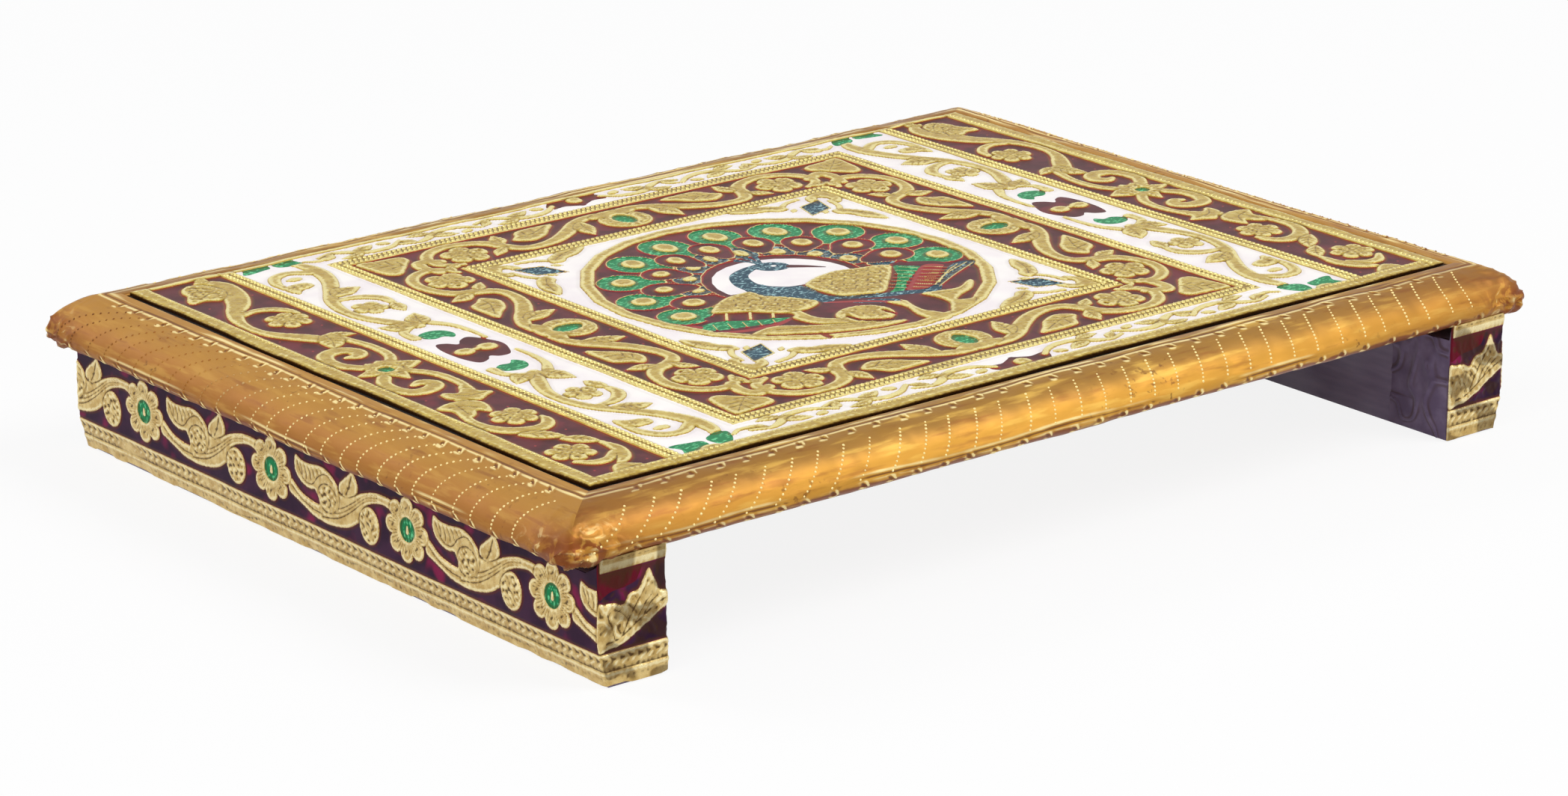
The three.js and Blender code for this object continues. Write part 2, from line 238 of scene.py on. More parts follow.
class Drawing:
    """Motifs laid on a flat grid as distances to their edges, in millimetres, positive inside."""

    REACH = 2.6
    CREST_REACH = 1.3

    def __init__(self, xs: Array, ys: Array) -> None:
        """Starts an empty drawing.

        Args:
            xs: the grid's columns.
            ys: the grid's rows.
        """
        self.xs = xs
        self.ys = ys
        shape = (len(ys), len(xs))
        self.layers = {enamel: np.full(shape, -self.REACH) for enamel in Enamel}
        self.groove = np.zeros(shape)
        self.pebble = np.zeros(shape)
        self.sunk = np.zeros(shape)

    @property
    def reach(self) -> int:
        """How many grid points a crest is compared over."""
        return max(1, int(round(self.CREST_REACH / (self.xs[1] - self.xs[0]))))

    def numbers(self) -> dict[str, Array]:
        """The layers, under the names by which the finish finds them."""
        return {enamel.value: layer for enamel, layer in self.layers.items()}

    def window(self, low: Array, high: Array) -> Window:
        """The part of the grid between two corners.

        Args:
            low: the lower corner.
            high: the upper one.

        Returns:
            The rows and the columns.
        """
        columns = np.searchsorted(self.xs, (low[0], high[0]))
        rows = np.searchsorted(self.ys, (low[1], high[1]))
        return slice(rows[0], rows[1]), slice(columns[0], columns[1])

    def places(self, window: Window) -> tuple[Array, Array]:
        """The coordinates of a window's grid points, as a row and a column that broadcast."""
        return self.xs[None, window[1]], self.ys[window[0], None]

    def paint(self, enamel: Optional[Enamel], window: Window, inside: Array) -> None:
        """Lays a colour over whatever is there.

        Args:
            enamel: the colour, or None for the ground.
            window: the part of the grid.
            inside: the distance inside the shape at each point of the window.
        """
        inside = np.clip(inside, -self.REACH, self.REACH)
        bare = inside < 0.1
        self.groove[window] *= bare
        self.pebble[window] *= bare
        for other, layer in self.layers.items():
            if other is enamel:
                raise_to(layer, window, inside)
            else:
                layer[window] = np.minimum(layer[window], -inside)

    def segment(self, a: Array, b: Array, reach: float) -> tuple[Window, Array, Array]:
        """The distance from a line segment, and how far along it the nearest point lies.

        Args:
            a: the segment's start.
            b: its end.
            reach: how far round it is looked at.

        Returns:
            The window looked at, the distances, and the share of the way along.
        """
        window = self.window(np.minimum(a, b) - reach, np.maximum(a, b) + reach)
        x, y = self.places(window)
        run = b - a
        along = ((x - a[0]) * run[0] + (y - a[1]) * run[1]) / max(float(run @ run), 1e-9)
        along = np.clip(along, 0, 1)
        return window, np.hypot(x - a[0] - along * run[0], y - a[1] - along * run[1]), along

    def stroke(self, enamel: Optional[Enamel], line: Array) -> None:
        """Draws a line whose rows are x, y and half width.

        Args:
            enamel: its colour, or None for the ground.
            line: its rows.
        """
        for start, end in zip(line, line[1:]):
            reach = max(start[2], end[2]) + self.REACH
            window, distance, along = self.segment(start[:2], end[:2], reach)
            self.paint(enamel, window, start[2] + along * (end[2] - start[2]) - distance)

    def shape(self, outline: Array) -> tuple[Window, Array]:
        """The distance inside a closed outline.

        Args:
            outline: its points in order.

        Returns:
            The window round it and the distances there.
        """
        window = self.window(outline.min(0) - self.REACH, outline.max(0) + self.REACH)
        x, y = self.places(window)
        within = np.zeros(np.broadcast(x, y).shape, bool)
        nearest = np.full(within.shape, 1e9)
        for a, b in zip(outline, np.roll(outline, -1, axis=0)):
            run = b - a
            along = ((x - a[0]) * run[0] + (y - a[1]) * run[1]) / max(float(run @ run), 1e-9)
            along = np.clip(along, 0, 1)
            nearest = np.minimum(nearest, np.hypot(x - a[0] - along * run[0], y - a[1] - along * run[1]))
            if a[1] != b[1]:
                crosses = (y > min(a[1], b[1])) & (y <= max(a[1], b[1]))
                within ^= crosses & (x < a[0] + (y - a[1]) * run[0] / run[1])
        return window, np.where(within, nearest, -nearest)

    def engrave(self, line: Array, width: float) -> None:
        """Cuts a thin line into what is gold there.

        Args:
            line: its points.
            width: how wide it is cut.
        """
        for start, end in zip(line, line[1:]):
            window, distance, _ = self.segment(start[:2], end[:2], 3 * width)
            raise_to(self.groove, window, bell(distance, width))


@dataclass
class Pen:
    """Draws motifs in its own axes onto a drawing."""

    drawing: Drawing
    origin: Point = (0.0, 0.0)
    x_axis: Point = (1.0, 0.0)
    y_axis: Point = (0.0, 1.0)

    def placed(self, points: Iterable[Row]) -> Array:
        """Turns rows of x, y and half width in the pen's axes into the drawing's.

        Args:
            points: the rows, of which several can stand in one text, as in "1,2 3,4".

        Returns:
            The rows, placed.
        """
        p = numbers_in(*points)
        along, across = p[:, :1] * np.array(self.x_axis), p[:, 1:2] * np.array(self.y_axis)
        p[:, :2] = np.array(self.origin) + along + across
        return p

    def vine(self, *points: Row, enamel: Optional[Enamel] = Enamel.GOLD) -> None:
        """Draws a smooth line through points of x, y and half width."""
        self.drawing.stroke(enamel, smooth_line(self.placed(points)))

    def blob(
        self, *points: Row, enamel: Optional[Enamel] = Enamel.GOLD, rough: bool = False, sharp: bool = False
    ) -> None:
        """Fills an outline, and cuts a line round it where it lies on other gold.

        Args:
            points: the outline, in order.
            enamel: its colour, or None for the ground.
            rough: whether it is pebbled.
            sharp: whether the outline keeps its corners.
        """
        placed = self.placed(points)
        window, inside = self.drawing.shape(placed if sharp else smooth_line(placed, closed=True))
        self.drawing.paint(enamel, window, inside)
        if enamel is Enamel.GOLD:
            raise_to(self.drawing.groove, window, 0.8 * bell(inside, 0.36))
        if rough:
            raise_to(self.drawing.pebble, window, np.clip(inside - 0.3, 0, 0.6) / 0.6)

    def rectangle(self, enamel: Optional[Enamel], x0: float, y0: float, x1: float, y1: float) -> None:
        """Fills a rectangle between two corners."""
        self.blob((x0, y0), (x1, y0), (x1, y1), (x0, y1), enamel=enamel, sharp=True)

    def diamond(self, centre: Point, half_length: float, half_width: float, enamel: Enamel) -> None:
        """Fills a pointed diamond that stands on the diagonal, with a gold line round it.

        Args:
            centre: its middle.
            half_length: half its long diagonal.
            half_width: half its short one.
            enamel: its colour.
        """
        for grow, fill in ((0.7, Enamel.GOLD), (0.0, enamel)):
            a, b = (half_length + 1.4 * grow) * math.sqrt(0.5), (half_width + grow) * math.sqrt(0.5)
            corners = ((a, a), (-b, b), (-a, -a), (b, -b))
            self.blob(*((centre[0] + x, centre[1] + y) for x, y in corners), enamel=fill, sharp=True)

    def swapped(self) -> "Pen":
        """The same pen with its two axes exchanged."""
        return Pen(self.drawing, self.origin, self.y_axis, self.x_axis)

    def sink(self, x0: float, y0: float, x1: float, y1: float) -> None:
        """Sinks the bed of a beaded line between two corners, inside a narrow raised border.

        Args:
            x0: the first corner's X.
            y0: its Y.
            x1: the other corner's X.
            y1: its Y.
        """
        placed = self.placed(((x0, y0), (x1, y0), (x1, y1), (x0, y1)))
        window, inside = self.drawing.shape(placed)
        raise_to(self.drawing.sunk, window, np.clip((inside - 0.55) / 0.5, 0, 1))

    def line(self, *points: Row, width: float = 0.28) -> None:
        """Engraves a smooth thin line."""
        self.drawing.engrave(smooth_line(self.placed(points), per_span=4), width)

    def oval(
        self,
        centre: Point,
        radii: Point,
        enamel: Optional[Enamel] = Enamel.GOLD,
        tilt: float = 0.0,
        lobes: int = 0,
        depth: float = 0.0,
        rough: bool = False,
    ) -> None:
        """Fills an oval, plain or scalloped.

        Args:
            centre: its middle.
            radii: its two half axes.
            enamel: its colour.
            tilt: how far it is turned, in degrees.
            lobes: how many scallops run round it.
            depth: how deep they are, as a share of the radius.
            rough: whether it is pebbled.
        """
        angles = np.linspace(0, 2 * math.pi, max(24, 8 * lobes), endpoint=False)
        scallops = np.abs(np.cos(angles * lobes / 2)) ** 0.7 - 0.6
        reach = 1 + depth * scallops if lobes else np.ones_like(angles)
        turn = math.radians(tilt)
        a = reach * radii[0] * np.cos(angles)
        b = reach * radii[1] * np.sin(angles)
        x = centre[0] + a * math.cos(turn) - b * math.sin(turn)
        y = centre[1] + a * math.sin(turn) + b * math.cos(turn)
        self.blob(*zip(x, y), enamel=enamel, rough=rough, sharp=True)

    def dots(self, places: str) -> None:
        """Fills small red dots at these points."""
        for x, y in numbers_in(places):
            self.oval((x, y), (0.45, 0.45), Enamel.RED)

    def leaf(self, base: Point, tip: Point, half_width: float, bend: float = 0.0) -> None:
        """Draws a pointed gold leaf with its rib and side veins.

        Args:
            base: where it starts.
            tip: where it points.
            half_width: half its greatest width.
            bend: how far its middle bows to the left of the way from base to tip.
        """
        a = np.array(base, float)
        run = np.array(tip, float) - a
        length = float(np.hypot(*run))
        side = np.array([-run[1], run[0]]) / max(length, 1e-6)

        def place(along: float, across: float) -> Point:
            """A point of the leaf, as a share of its length and a distance across it."""
            bow = 4 * along * (1 - along) * bend
            return tuple(a + run * along + side * (across + bow))

        profile = ((0.0, 0.25), (0.2, 0.75), (0.45, 1.0), (0.7, 0.72), (0.9, 0.28))
        left = [place(t, w * half_width) for t, w in profile]
        right = [place(t, -w * half_width) for t, w in reversed(profile)]
        self.blob(*left, place(1.0, 0), *right)
        self.line(place(0.05, 0), place(0.5, 0), place(0.92, 0))
        for t in (0.25, 0.42, 0.6):
            for hand in (-1, 1):
                self.line(place(t, 0), place(t + 0.16, hand * half_width * 0.75), width=0.22)

    def flower(self, centre: Point, radius: float, petals: int = 6, tilt: float = 0.0) -> None:
        """Draws a small round flower with a pebbled face and a line round each petal.

        Args:
            centre: its middle.
            radius: how far the petals reach.
            petals: how many there are.
            tilt: how far it is turned, in degrees.
        """
        self.oval(centre, (radius, radius), lobes=petals, depth=0.3, rough=True, tilt=tilt)
        for k in range(petals):
            angle = math.radians(tilt) + 2 * math.pi * (k + 0.5) / petals
            ends = []
            for reach in (0.3, 0.85):
                along, up = radius * reach * math.cos(angle), radius * reach * math.sin(angle)
                ends.append((centre[0] + along, centre[1] + up))
            self.line(*ends, width=0.25)

    def mirrored(self, across_x: bool = False, across_y: bool = False) -> "Pen":
        """The same pen with one or both of its axes turned round.

        Args:
            across_x: whether X is turned round.
            across_y: whether Y is.

        Returns:
            The other pen.
        """
        x_axis = (-self.x_axis[0], -self.x_axis[1]) if across_x else self.x_axis
        y_axis = (-self.y_axis[0], -self.y_axis[1]) if across_y else self.y_axis
        return Pen(self.drawing, self.origin, x_axis, y_axis)


class NodeBoard:
    """The node tree of a material or a world, and short ways to add shader nodes to it."""

    def __init__(self, owner: Material | bpy.types.World) -> None:
        """Empties the tree.

        Args:
            owner: the material or the world that the nodes are for.
        """
        self.owner = owner
        self.owner.use_nodes = True
        self.tree = self.owner.node_tree
        self.tree.nodes.clear()

    def node(self, kind: str, inputs: Optional[dict] = None, **settings: object) -> bpy.types.Node:
        """Adds a node.

        Args:
            kind: its type, without the ShaderNode prefix.
            inputs: sockets by name or number, each a value or another node's output.
            settings: the node's own properties.

        Returns:
            The node.
        """
        made = self.tree.nodes.new("ShaderNode" + kind)
        for key, value in settings.items():
            setattr(made, key, value)
        for key, value in (inputs or {}).items():
            if isinstance(value, Socket):
                self.tree.links.new(value, made.inputs[key])
            else:
                made.inputs[key].default_value = value
        return made

    def attribute(self, name: str) -> Socket:
        """A number stored on the mesh."""
        return self.node("Attribute", attribute_name=name).outputs["Fac"]

    def place(self, scale: Sequence[float] = (1, 1, 1), turn: Sequence[float] = (0, 0, 0)) -> Socket:
        """Positions in the row frame, in metres, scaled and turned."""
        source = self.node("TexCoord").outputs["Object"]
        return self.node("Mapping", {"Vector": source, "Scale": scale, "Rotation": turn}).outputs[0]

    def math(self, operation: str, a: object, b: object = 0.0, clamp: bool = False) -> Socket:
        """Arithmetic on two numbers."""
        return self.node("Math", {0: a, 1: b}, operation=operation, use_clamp=clamp).outputs[0]

    def times(self, a: object, b: object) -> Socket:
        """The product of two numbers."""
        return self.math("MULTIPLY", a, b)

    def ramp(self, value: object, low: float, high: float, out: Point = (0.0, 1.0)) -> Socket:
        """A smooth step from one number to another as the value goes from low to high."""
        inputs = {"Value": value, "From Min": low, "From Max": high, "To Min": out[0], "To Max": out[1]}
        return self.node("MapRange", inputs, interpolation_type="SMOOTHSTEP").outputs["Result"]

    def mix(self, factor: object, a: object, b: object) -> Socket:
        """A colour between two others."""
        return self.node("Mix", {0: factor, 6: a, 7: b}, data_type="RGBA").outputs[2]

    def cover(
        self, under: object, over: object, value: object, low: float, high: float, share: float = 1.0
    ) -> Socket:
        """Lays one colour over another where a value is high.

        Args:
            under: the lower colour.
            over: the upper colour.
            value: what decides between them.
            low: where the upper colour starts to show.
            high: where it shows most.
            share: how much of it shows there.

        Returns:
            The mixed colour.
        """
        step = self.ramp(value, low, high)
        return self.mix(step if share == 1.0 else self.times(step, share), under, over)

    def blend(self, factor: object, a: object, b: object) -> Socket:
        """A number between two others."""
        return self.node("Mix", {0: factor, 2: a, 3: b}, data_type="FLOAT").outputs[0]

    def noise(self, size: float, detail: float = 2, place: object = None, distortion: float = 0) -> Socket:
        """Cloudy noise whose patches are about size millimetres across."""
        inputs = {"Vector": place or self.place(), "Scale": 1 / (size * MM)}
        return self.node("TexNoise", inputs | {"Detail": detail, "Distortion": distortion}).outputs["Fac"]

    def cells(self, size: float, place: object = None, feature: str = "F1") -> Socket:
        """The distance within cells about size millimetres across."""
        inputs = {"Vector": place or self.place(), "Scale": 1 / (size * MM)}
        return self.node("TexVoronoi", inputs, feature=feature).outputs["Distance"]

    def bump(self, height: object, depth: float, strength: float = 1.0, normal: object = None) -> Socket:
        """Surface unevenness, depth millimetres deep where height goes from 0 to 1.

        Args:
            height: the height, 0 to 1.
            depth: how deep it goes.
            strength: how much of it shows.
            normal: the surface under it.

        Returns:
            The uneven normal.
        """
        inputs = {"Height": height, "Distance": depth * MM, "Strength": strength}
        if normal is not None:
            inputs["Normal"] = normal
        return self.node("Bump", inputs).outputs[0]

    def finish(self, inputs: dict) -> Material:
        """Joins the surface shader and the output, and gives the material.

        Args:
            inputs: the surface shader's sockets.

        Returns:
            The material.
        """
        shader = self.node("BsdfPrincipled", inputs)
        self.node("OutputMaterial", {"Surface": shader.outputs[0]})
        return self.owner


def shade(red: int, green: int, blue: int) -> Colour:
    """A colour written as a screen shows it, 0 to 255, as the linear values that nodes take.

    Args:
        red: the red channel.
        green: the green one.
        blue: the blue one.

    Returns:
        The linear colour, opaque.
    """
    def linear(value: int) -> float:
        """One channel without its display curve."""
        v = value / 255
        return v / 12.92 if v <= 0.04045 else ((v + 0.055) / 1.055) ** 2.4

    return linear(red), linear(green), linear(blue), 1.0


@dataclass(frozen=True)
class EnamelledSheet:
    """Gilt embossed sheet metal with enamel in its hollows."""

    name: str
    ground: Colour
    ground_light: Colour
    glint: Colour
    rim: Colour
    gold: Colour = shade(178, 146, 56)
    gold_light: Colour = shade(204, 178, 88)
    # The next two colours are a painted highlight for crests and a painted shade for hollows.
    gold_painted_highlight: Colour = shade(255, 246, 178)
    gold_painted_shade: Colour = shade(104, 74, 26)
    white: Colour = shade(255, 251, 248)
    green: Colour = shade(22, 128, 78)
    green_light: Colour = shade(104, 206, 146)
    blue: Colour = shade(28, 66, 84)
    blue_light: Colour = shade(150, 190, 196)
    red: Colour = shade(160, 58, 58)
    crimson: Colour = shade(96, 14, 32)
    paint: Colour = shade(104, 90, 116)

    def material(self) -> Material:
        """Builds the finish from the distances and crests stored on the mesh, with a painted highlight on
        crests and painted shade in hollows and at the foot of the relief.

        Returns:
            The material.
        """
        board = NodeBoard(bpy.data.materials.new(self.name))
        layer = {enamel: board.attribute(enamel.value) for enamel in Enamel}
        crest = board.attribute("crest")
        cloud = board.noise(9, 3)
        colour = board.cover(self.ground, self.ground_light, cloud, 0.38, 0.64)
        colour = board.cover(colour, self.glint, board.noise(13, 2), 0.56, 0.68, 0.8)
        nearness = board.ramp(board.math("ADD", layer[Enamel.GOLD], board.times(cloud, 1.1)), -0.35, 0.45)
        colour = board.mix(nearness, colour, self.rim)
        looks = {
            Enamel.WHITE: board.cover(self.white, shade(246, 238, 240), board.noise(14, 2), 0.3, 0.7),
            Enamel.GREEN: self.flecked(board, self.green, self.green_light, 1.7),
            Enamel.BLUE: self.flecked(board, self.blue, self.blue_light, 1.5),
            Enamel.RED: self.red,
            Enamel.CRIMSON: self.crimson,
            Enamel.PAINT: board.cover(self.paint, shade(130, 116, 142), board.noise(9, 3), 0.35, 0.7),
        }
        for enamel, look in looks.items():
            colour = board.cover(colour, look, layer[enamel], -0.09, 0.09)
        # Painted shade at the foot of the relief, weaker on white enamel.
        foot_shade_share = board.blend(board.ramp(layer[Enamel.WHITE], -0.1, 0.1), 0.5, 0.08)
        foot = board.times(board.ramp(crest, -0.2, -1.0), foot_shade_share)
        colour = board.mix(foot, colour, self.gold_painted_shade)
        is_gold = board.ramp(layer[Enamel.GOLD], -0.07, 0.07)
        colour = board.mix(is_gold, colour, self.gold_look(board, crest))
        # Painted shade on the sheet's rim walls, and darker brown patches on the runner's end faces.
        colour = board.cover(colour, shade(60, 36, 18), board.attribute("grime"), 0.3, 1.2)
        stipple = board.times(board.cells(1.1), is_gold)
        roughness = board.ramp(board.noise(1.1, 2), 0.3, 0.7, (0.26, 0.4))
        return board.finish(
            {
                "Base Color": colour,
                "Metallic": board.times(is_gold, 0.6),
                "Roughness": board.blend(is_gold, 0.34, roughness),
                "Specular IOR Level": 0.06,
                "Normal": board.bump(stipple, 0.16, 0.5, board.bump(cloud, 0.1, 0.5)),
            }
        )

    def flecked(self, board: NodeBoard, dark: Colour, light: Colour, size: float) -> Socket:
        """Enamel with light flecks in it."""
        streaks = board.noise(size, 1, board.place((1, 2.2, 1), (0, 0, 0.7)))
        return board.cover(dark, light, streaks, 0.56, 0.64)

    def gold_look(self, board: NodeBoard, crest: Socket) -> Socket:
        """Stippled gilding, with a painted highlight on its rims and beads and painted shade in its engraved
        lines and hollows.

        Args:
            board: where its nodes go.
            crest: the crests stored on the mesh.

        Returns:
            Its colour.
        """
        worn = board.ramp(board.noise(3.2, 3), 0.34, 0.7)
        colour = board.mix(worn, self.gold, self.gold_light)
        # Painted highlight on crests, painted shade in hollows and engraved lines.
        colour = board.cover(colour, self.gold_painted_highlight, crest, 0.25, 1.0, 0.6)
        return board.cover(colour, self.gold_painted_shade, crest, -0.12, -0.95, 0.88)


@dataclass(frozen=True)
class GoldFoil:
    """Thin gilt foil folded over the mouldings, brushed along them, tarnished and scuffed."""

    name: str
    top: Colour
    nose_painted_light: Colour
    # Painted light on the lower part of the section: a highlight on the long foils, shade on the short ones.
    streak: Colour
    along_x: bool
    metal: float
    roughness: Point
    # This colour is also the painted shade under the nose.
    copper_and_shade: Colour = shade(128, 66, 16)
    # The stain colour also paints shade in hollows, and the pale colour is a painted highlight.
    stain: Colour = shade(104, 58, 18)
    pale: Colour = shade(255, 236, 168)

    def material(self) -> Material:
        """Builds the finish, from the way round the section and the crests stored on the mesh, which also
        place its painted light and shade.

        Returns:
            The material.
        """
        board = NodeBoard(bpy.data.materials.new(self.name))
        stretch = (0.14, 1, 1) if self.along_x else (1, 0.14, 1)
        round_share = board.attribute("round")
        crest = board.attribute("crest")
        cloud = board.noise(20, 3, distortion=0.4)
        # Painted light along the section: a painted highlight down to the nose on the long foils, painted
        # shade there on the short ones, then painted shade on the underside.
        wavering = board.math("ADD", round_share, board.times(cloud, 0.12))
        colour = board.cover(self.top, self.nose_painted_light, wavering, 0.36, 0.52)
        colour = board.cover(colour, self.copper_and_shade, wavering, 0.625, 0.65)
        brushed = board.noise(3, 4, board.place(stretch))
        colour = board.cover(colour, self.streak, brushed, 0.52, 0.7, 0.6)
        shadows = board.times(board.ramp(brushed, 0.44, 0.28), 0.5)
        colour = board.mix(shadows, colour, self.copper_and_shade)
        patches = board.ramp(board.noise(45, 2), 0.5, 0.62)
        blots = board.times(board.ramp(board.noise(2.4, 3), 0.6, 0.7), patches)
        colour = board.mix(board.times(blots, 0.7), colour, self.stain)
        # Painted highlight on crests and painted shade in hollows.
        colour = board.cover(colour, self.pale, crest, 0.12, 0.9, 0.85)
        colour = board.cover(colour, self.stain, crest, -0.15, -0.9, 0.85)
        # Painted shadow on the groove wall.
        colour = board.mix(board.attribute("grime"), colour, shade(38, 20, 8))
        colour = board.mix(board.attribute("dull"), colour, self.copper_and_shade)
        gathered = board.attribute("gathered")
        crumpled = board.noise(5.5, 3, distortion=1.2)
        colour = board.mix(board.times(gathered, board.ramp(crumpled, 0.54, 0.45)), colour, self.copper_and_shade)
        # Painted glints on the crumpled corners.
        glints = board.ramp(crumpled, 0.6, 0.68, (0.0, 0.55))
        colour = board.mix(board.times(gathered, glints), colour, self.pale)
        dents = board.math("ADD", board.noise(7, 3), board.times(brushed, 0.35))
        return board.finish(
            {
                "Base Color": colour,
                "Metallic": self.metal,
                "Roughness": board.ramp(brushed, 0.3, 0.75, self.roughness),
                "Specular IOR Level": 0.3,
                "Normal": board.bump(dents, 0.3, 0.5),
            }
        )


@dataclass(frozen=True)
class Timber:
    """Plain planed wood, with its grain along one axis."""

    name: str
    light: Colour = shade(178, 132, 84)
    dark: Colour = shade(118, 76, 42)
    along_x: bool = True
    grimed_edge: Optional[Three] = None

    def material(self) -> Material:
        """Builds the finish.

        Returns:
            The material.
        """
        board = NodeBoard(bpy.data.materials.new(self.name))
        stretch = (0.08, 1, 1) if self.along_x else (1, 0.08, 1)
        grain = board.noise(3.2, 5, board.place(stretch), 0.8)
        pores = board.noise(0.5, 2, board.place((0.05, 1, 1) if self.along_x else (1, 0.05, 1)))
        colour = board.cover(self.light, self.dark, grain, 0.35, 0.68)
        colour = board.cover(colour, self.dark, pores, 0.6, 0.75, 0.4)
        if self.grimed_edge:
            # Painted shadow on the board's upper edge, in the gap round the top sheet.
            colour = board.mix(self.near_edge(board), colour, shade(26, 14, 8))
        roughness = board.ramp(grain, 0.2, 0.8, (0.6, 0.82))
        normal = board.bump(grain, 0.25, 0.4)
        return board.finish({"Base Color": colour, "Roughness": roughness, "Normal": normal})

    def near_edge(self, board: NodeBoard) -> Socket:
        """1 on the upper face beyond the given half length and half depth, in millimetres, where a shadow is
        painted, else 0.

        Args:
            board: where its nodes go.

        Returns:
            The number.
        """
        place = board.node("SeparateXYZ", {0: board.node("TexCoord").outputs["Object"]}).outputs
        half_length, half_depth, height = self.grimed_edge
        beyond_x = board.math("GREATER_THAN", board.math("ABSOLUTE", place["X"]), half_length * MM)
        beyond_y = board.math("GREATER_THAN", board.math("ABSOLUTE", place["Y"]), half_depth * MM)
        above = board.math("GREATER_THAN", place["Z"], height * MM)
        return board.times(board.math("MAXIMUM", beyond_x, beyond_y), above)


@dataclass(frozen=True)
class BrushedPaint:
    """Dull dark paint brushed on wood, scuffed to a lighter tone."""

    name: str
    tone: Colour
    scuffed: Colour

    def material(self) -> Material:
        """Builds the finish.

        Returns:
            The material.
        """
        board = NodeBoard(bpy.data.materials.new(self.name))
        strokes = board.noise(2.6, 3, board.place((1, 0.12, 1)))
        patches = board.noise(26, 4)
        colour = board.mix(board.ramp(strokes, 0.3, 0.75, (0.0, 0.45)), self.tone, self.scuffed)
        colour = board.cover(colour, self.scuffed, patches, 0.6, 0.72)
        roughness = board.ramp(patches, 0.3, 0.7, (0.42, 0.7))
        normal = board.bump(strokes, 0.2, 0.5)
        return board.finish({"Base Color": colour, "Roughness": roughness, "Normal": normal})


@dataclass(frozen=True)
class BareMetal:
    """Steel or brass of small fasteners, a little stained."""

    name: str
    clean: Colour
    stained: Colour

    def material(self) -> Material:
        """Builds the finish.

        Returns:
            The material.
        """
        board = NodeBoard(bpy.data.materials.new(self.name))
        stain = board.noise(2.4, 4)
        colour = board.cover(self.clean, self.stained, stain, 0.42, 0.66)
        return board.finish(
            {
                "Base Color": colour,
                "Metallic": 0.9,
                "Roughness": board.ramp(stain, 0.3, 0.7, (0.28, 0.55)),
                "Normal": board.bump(board.noise(0.8, 2), 0.08, 0.5),
            }
        )


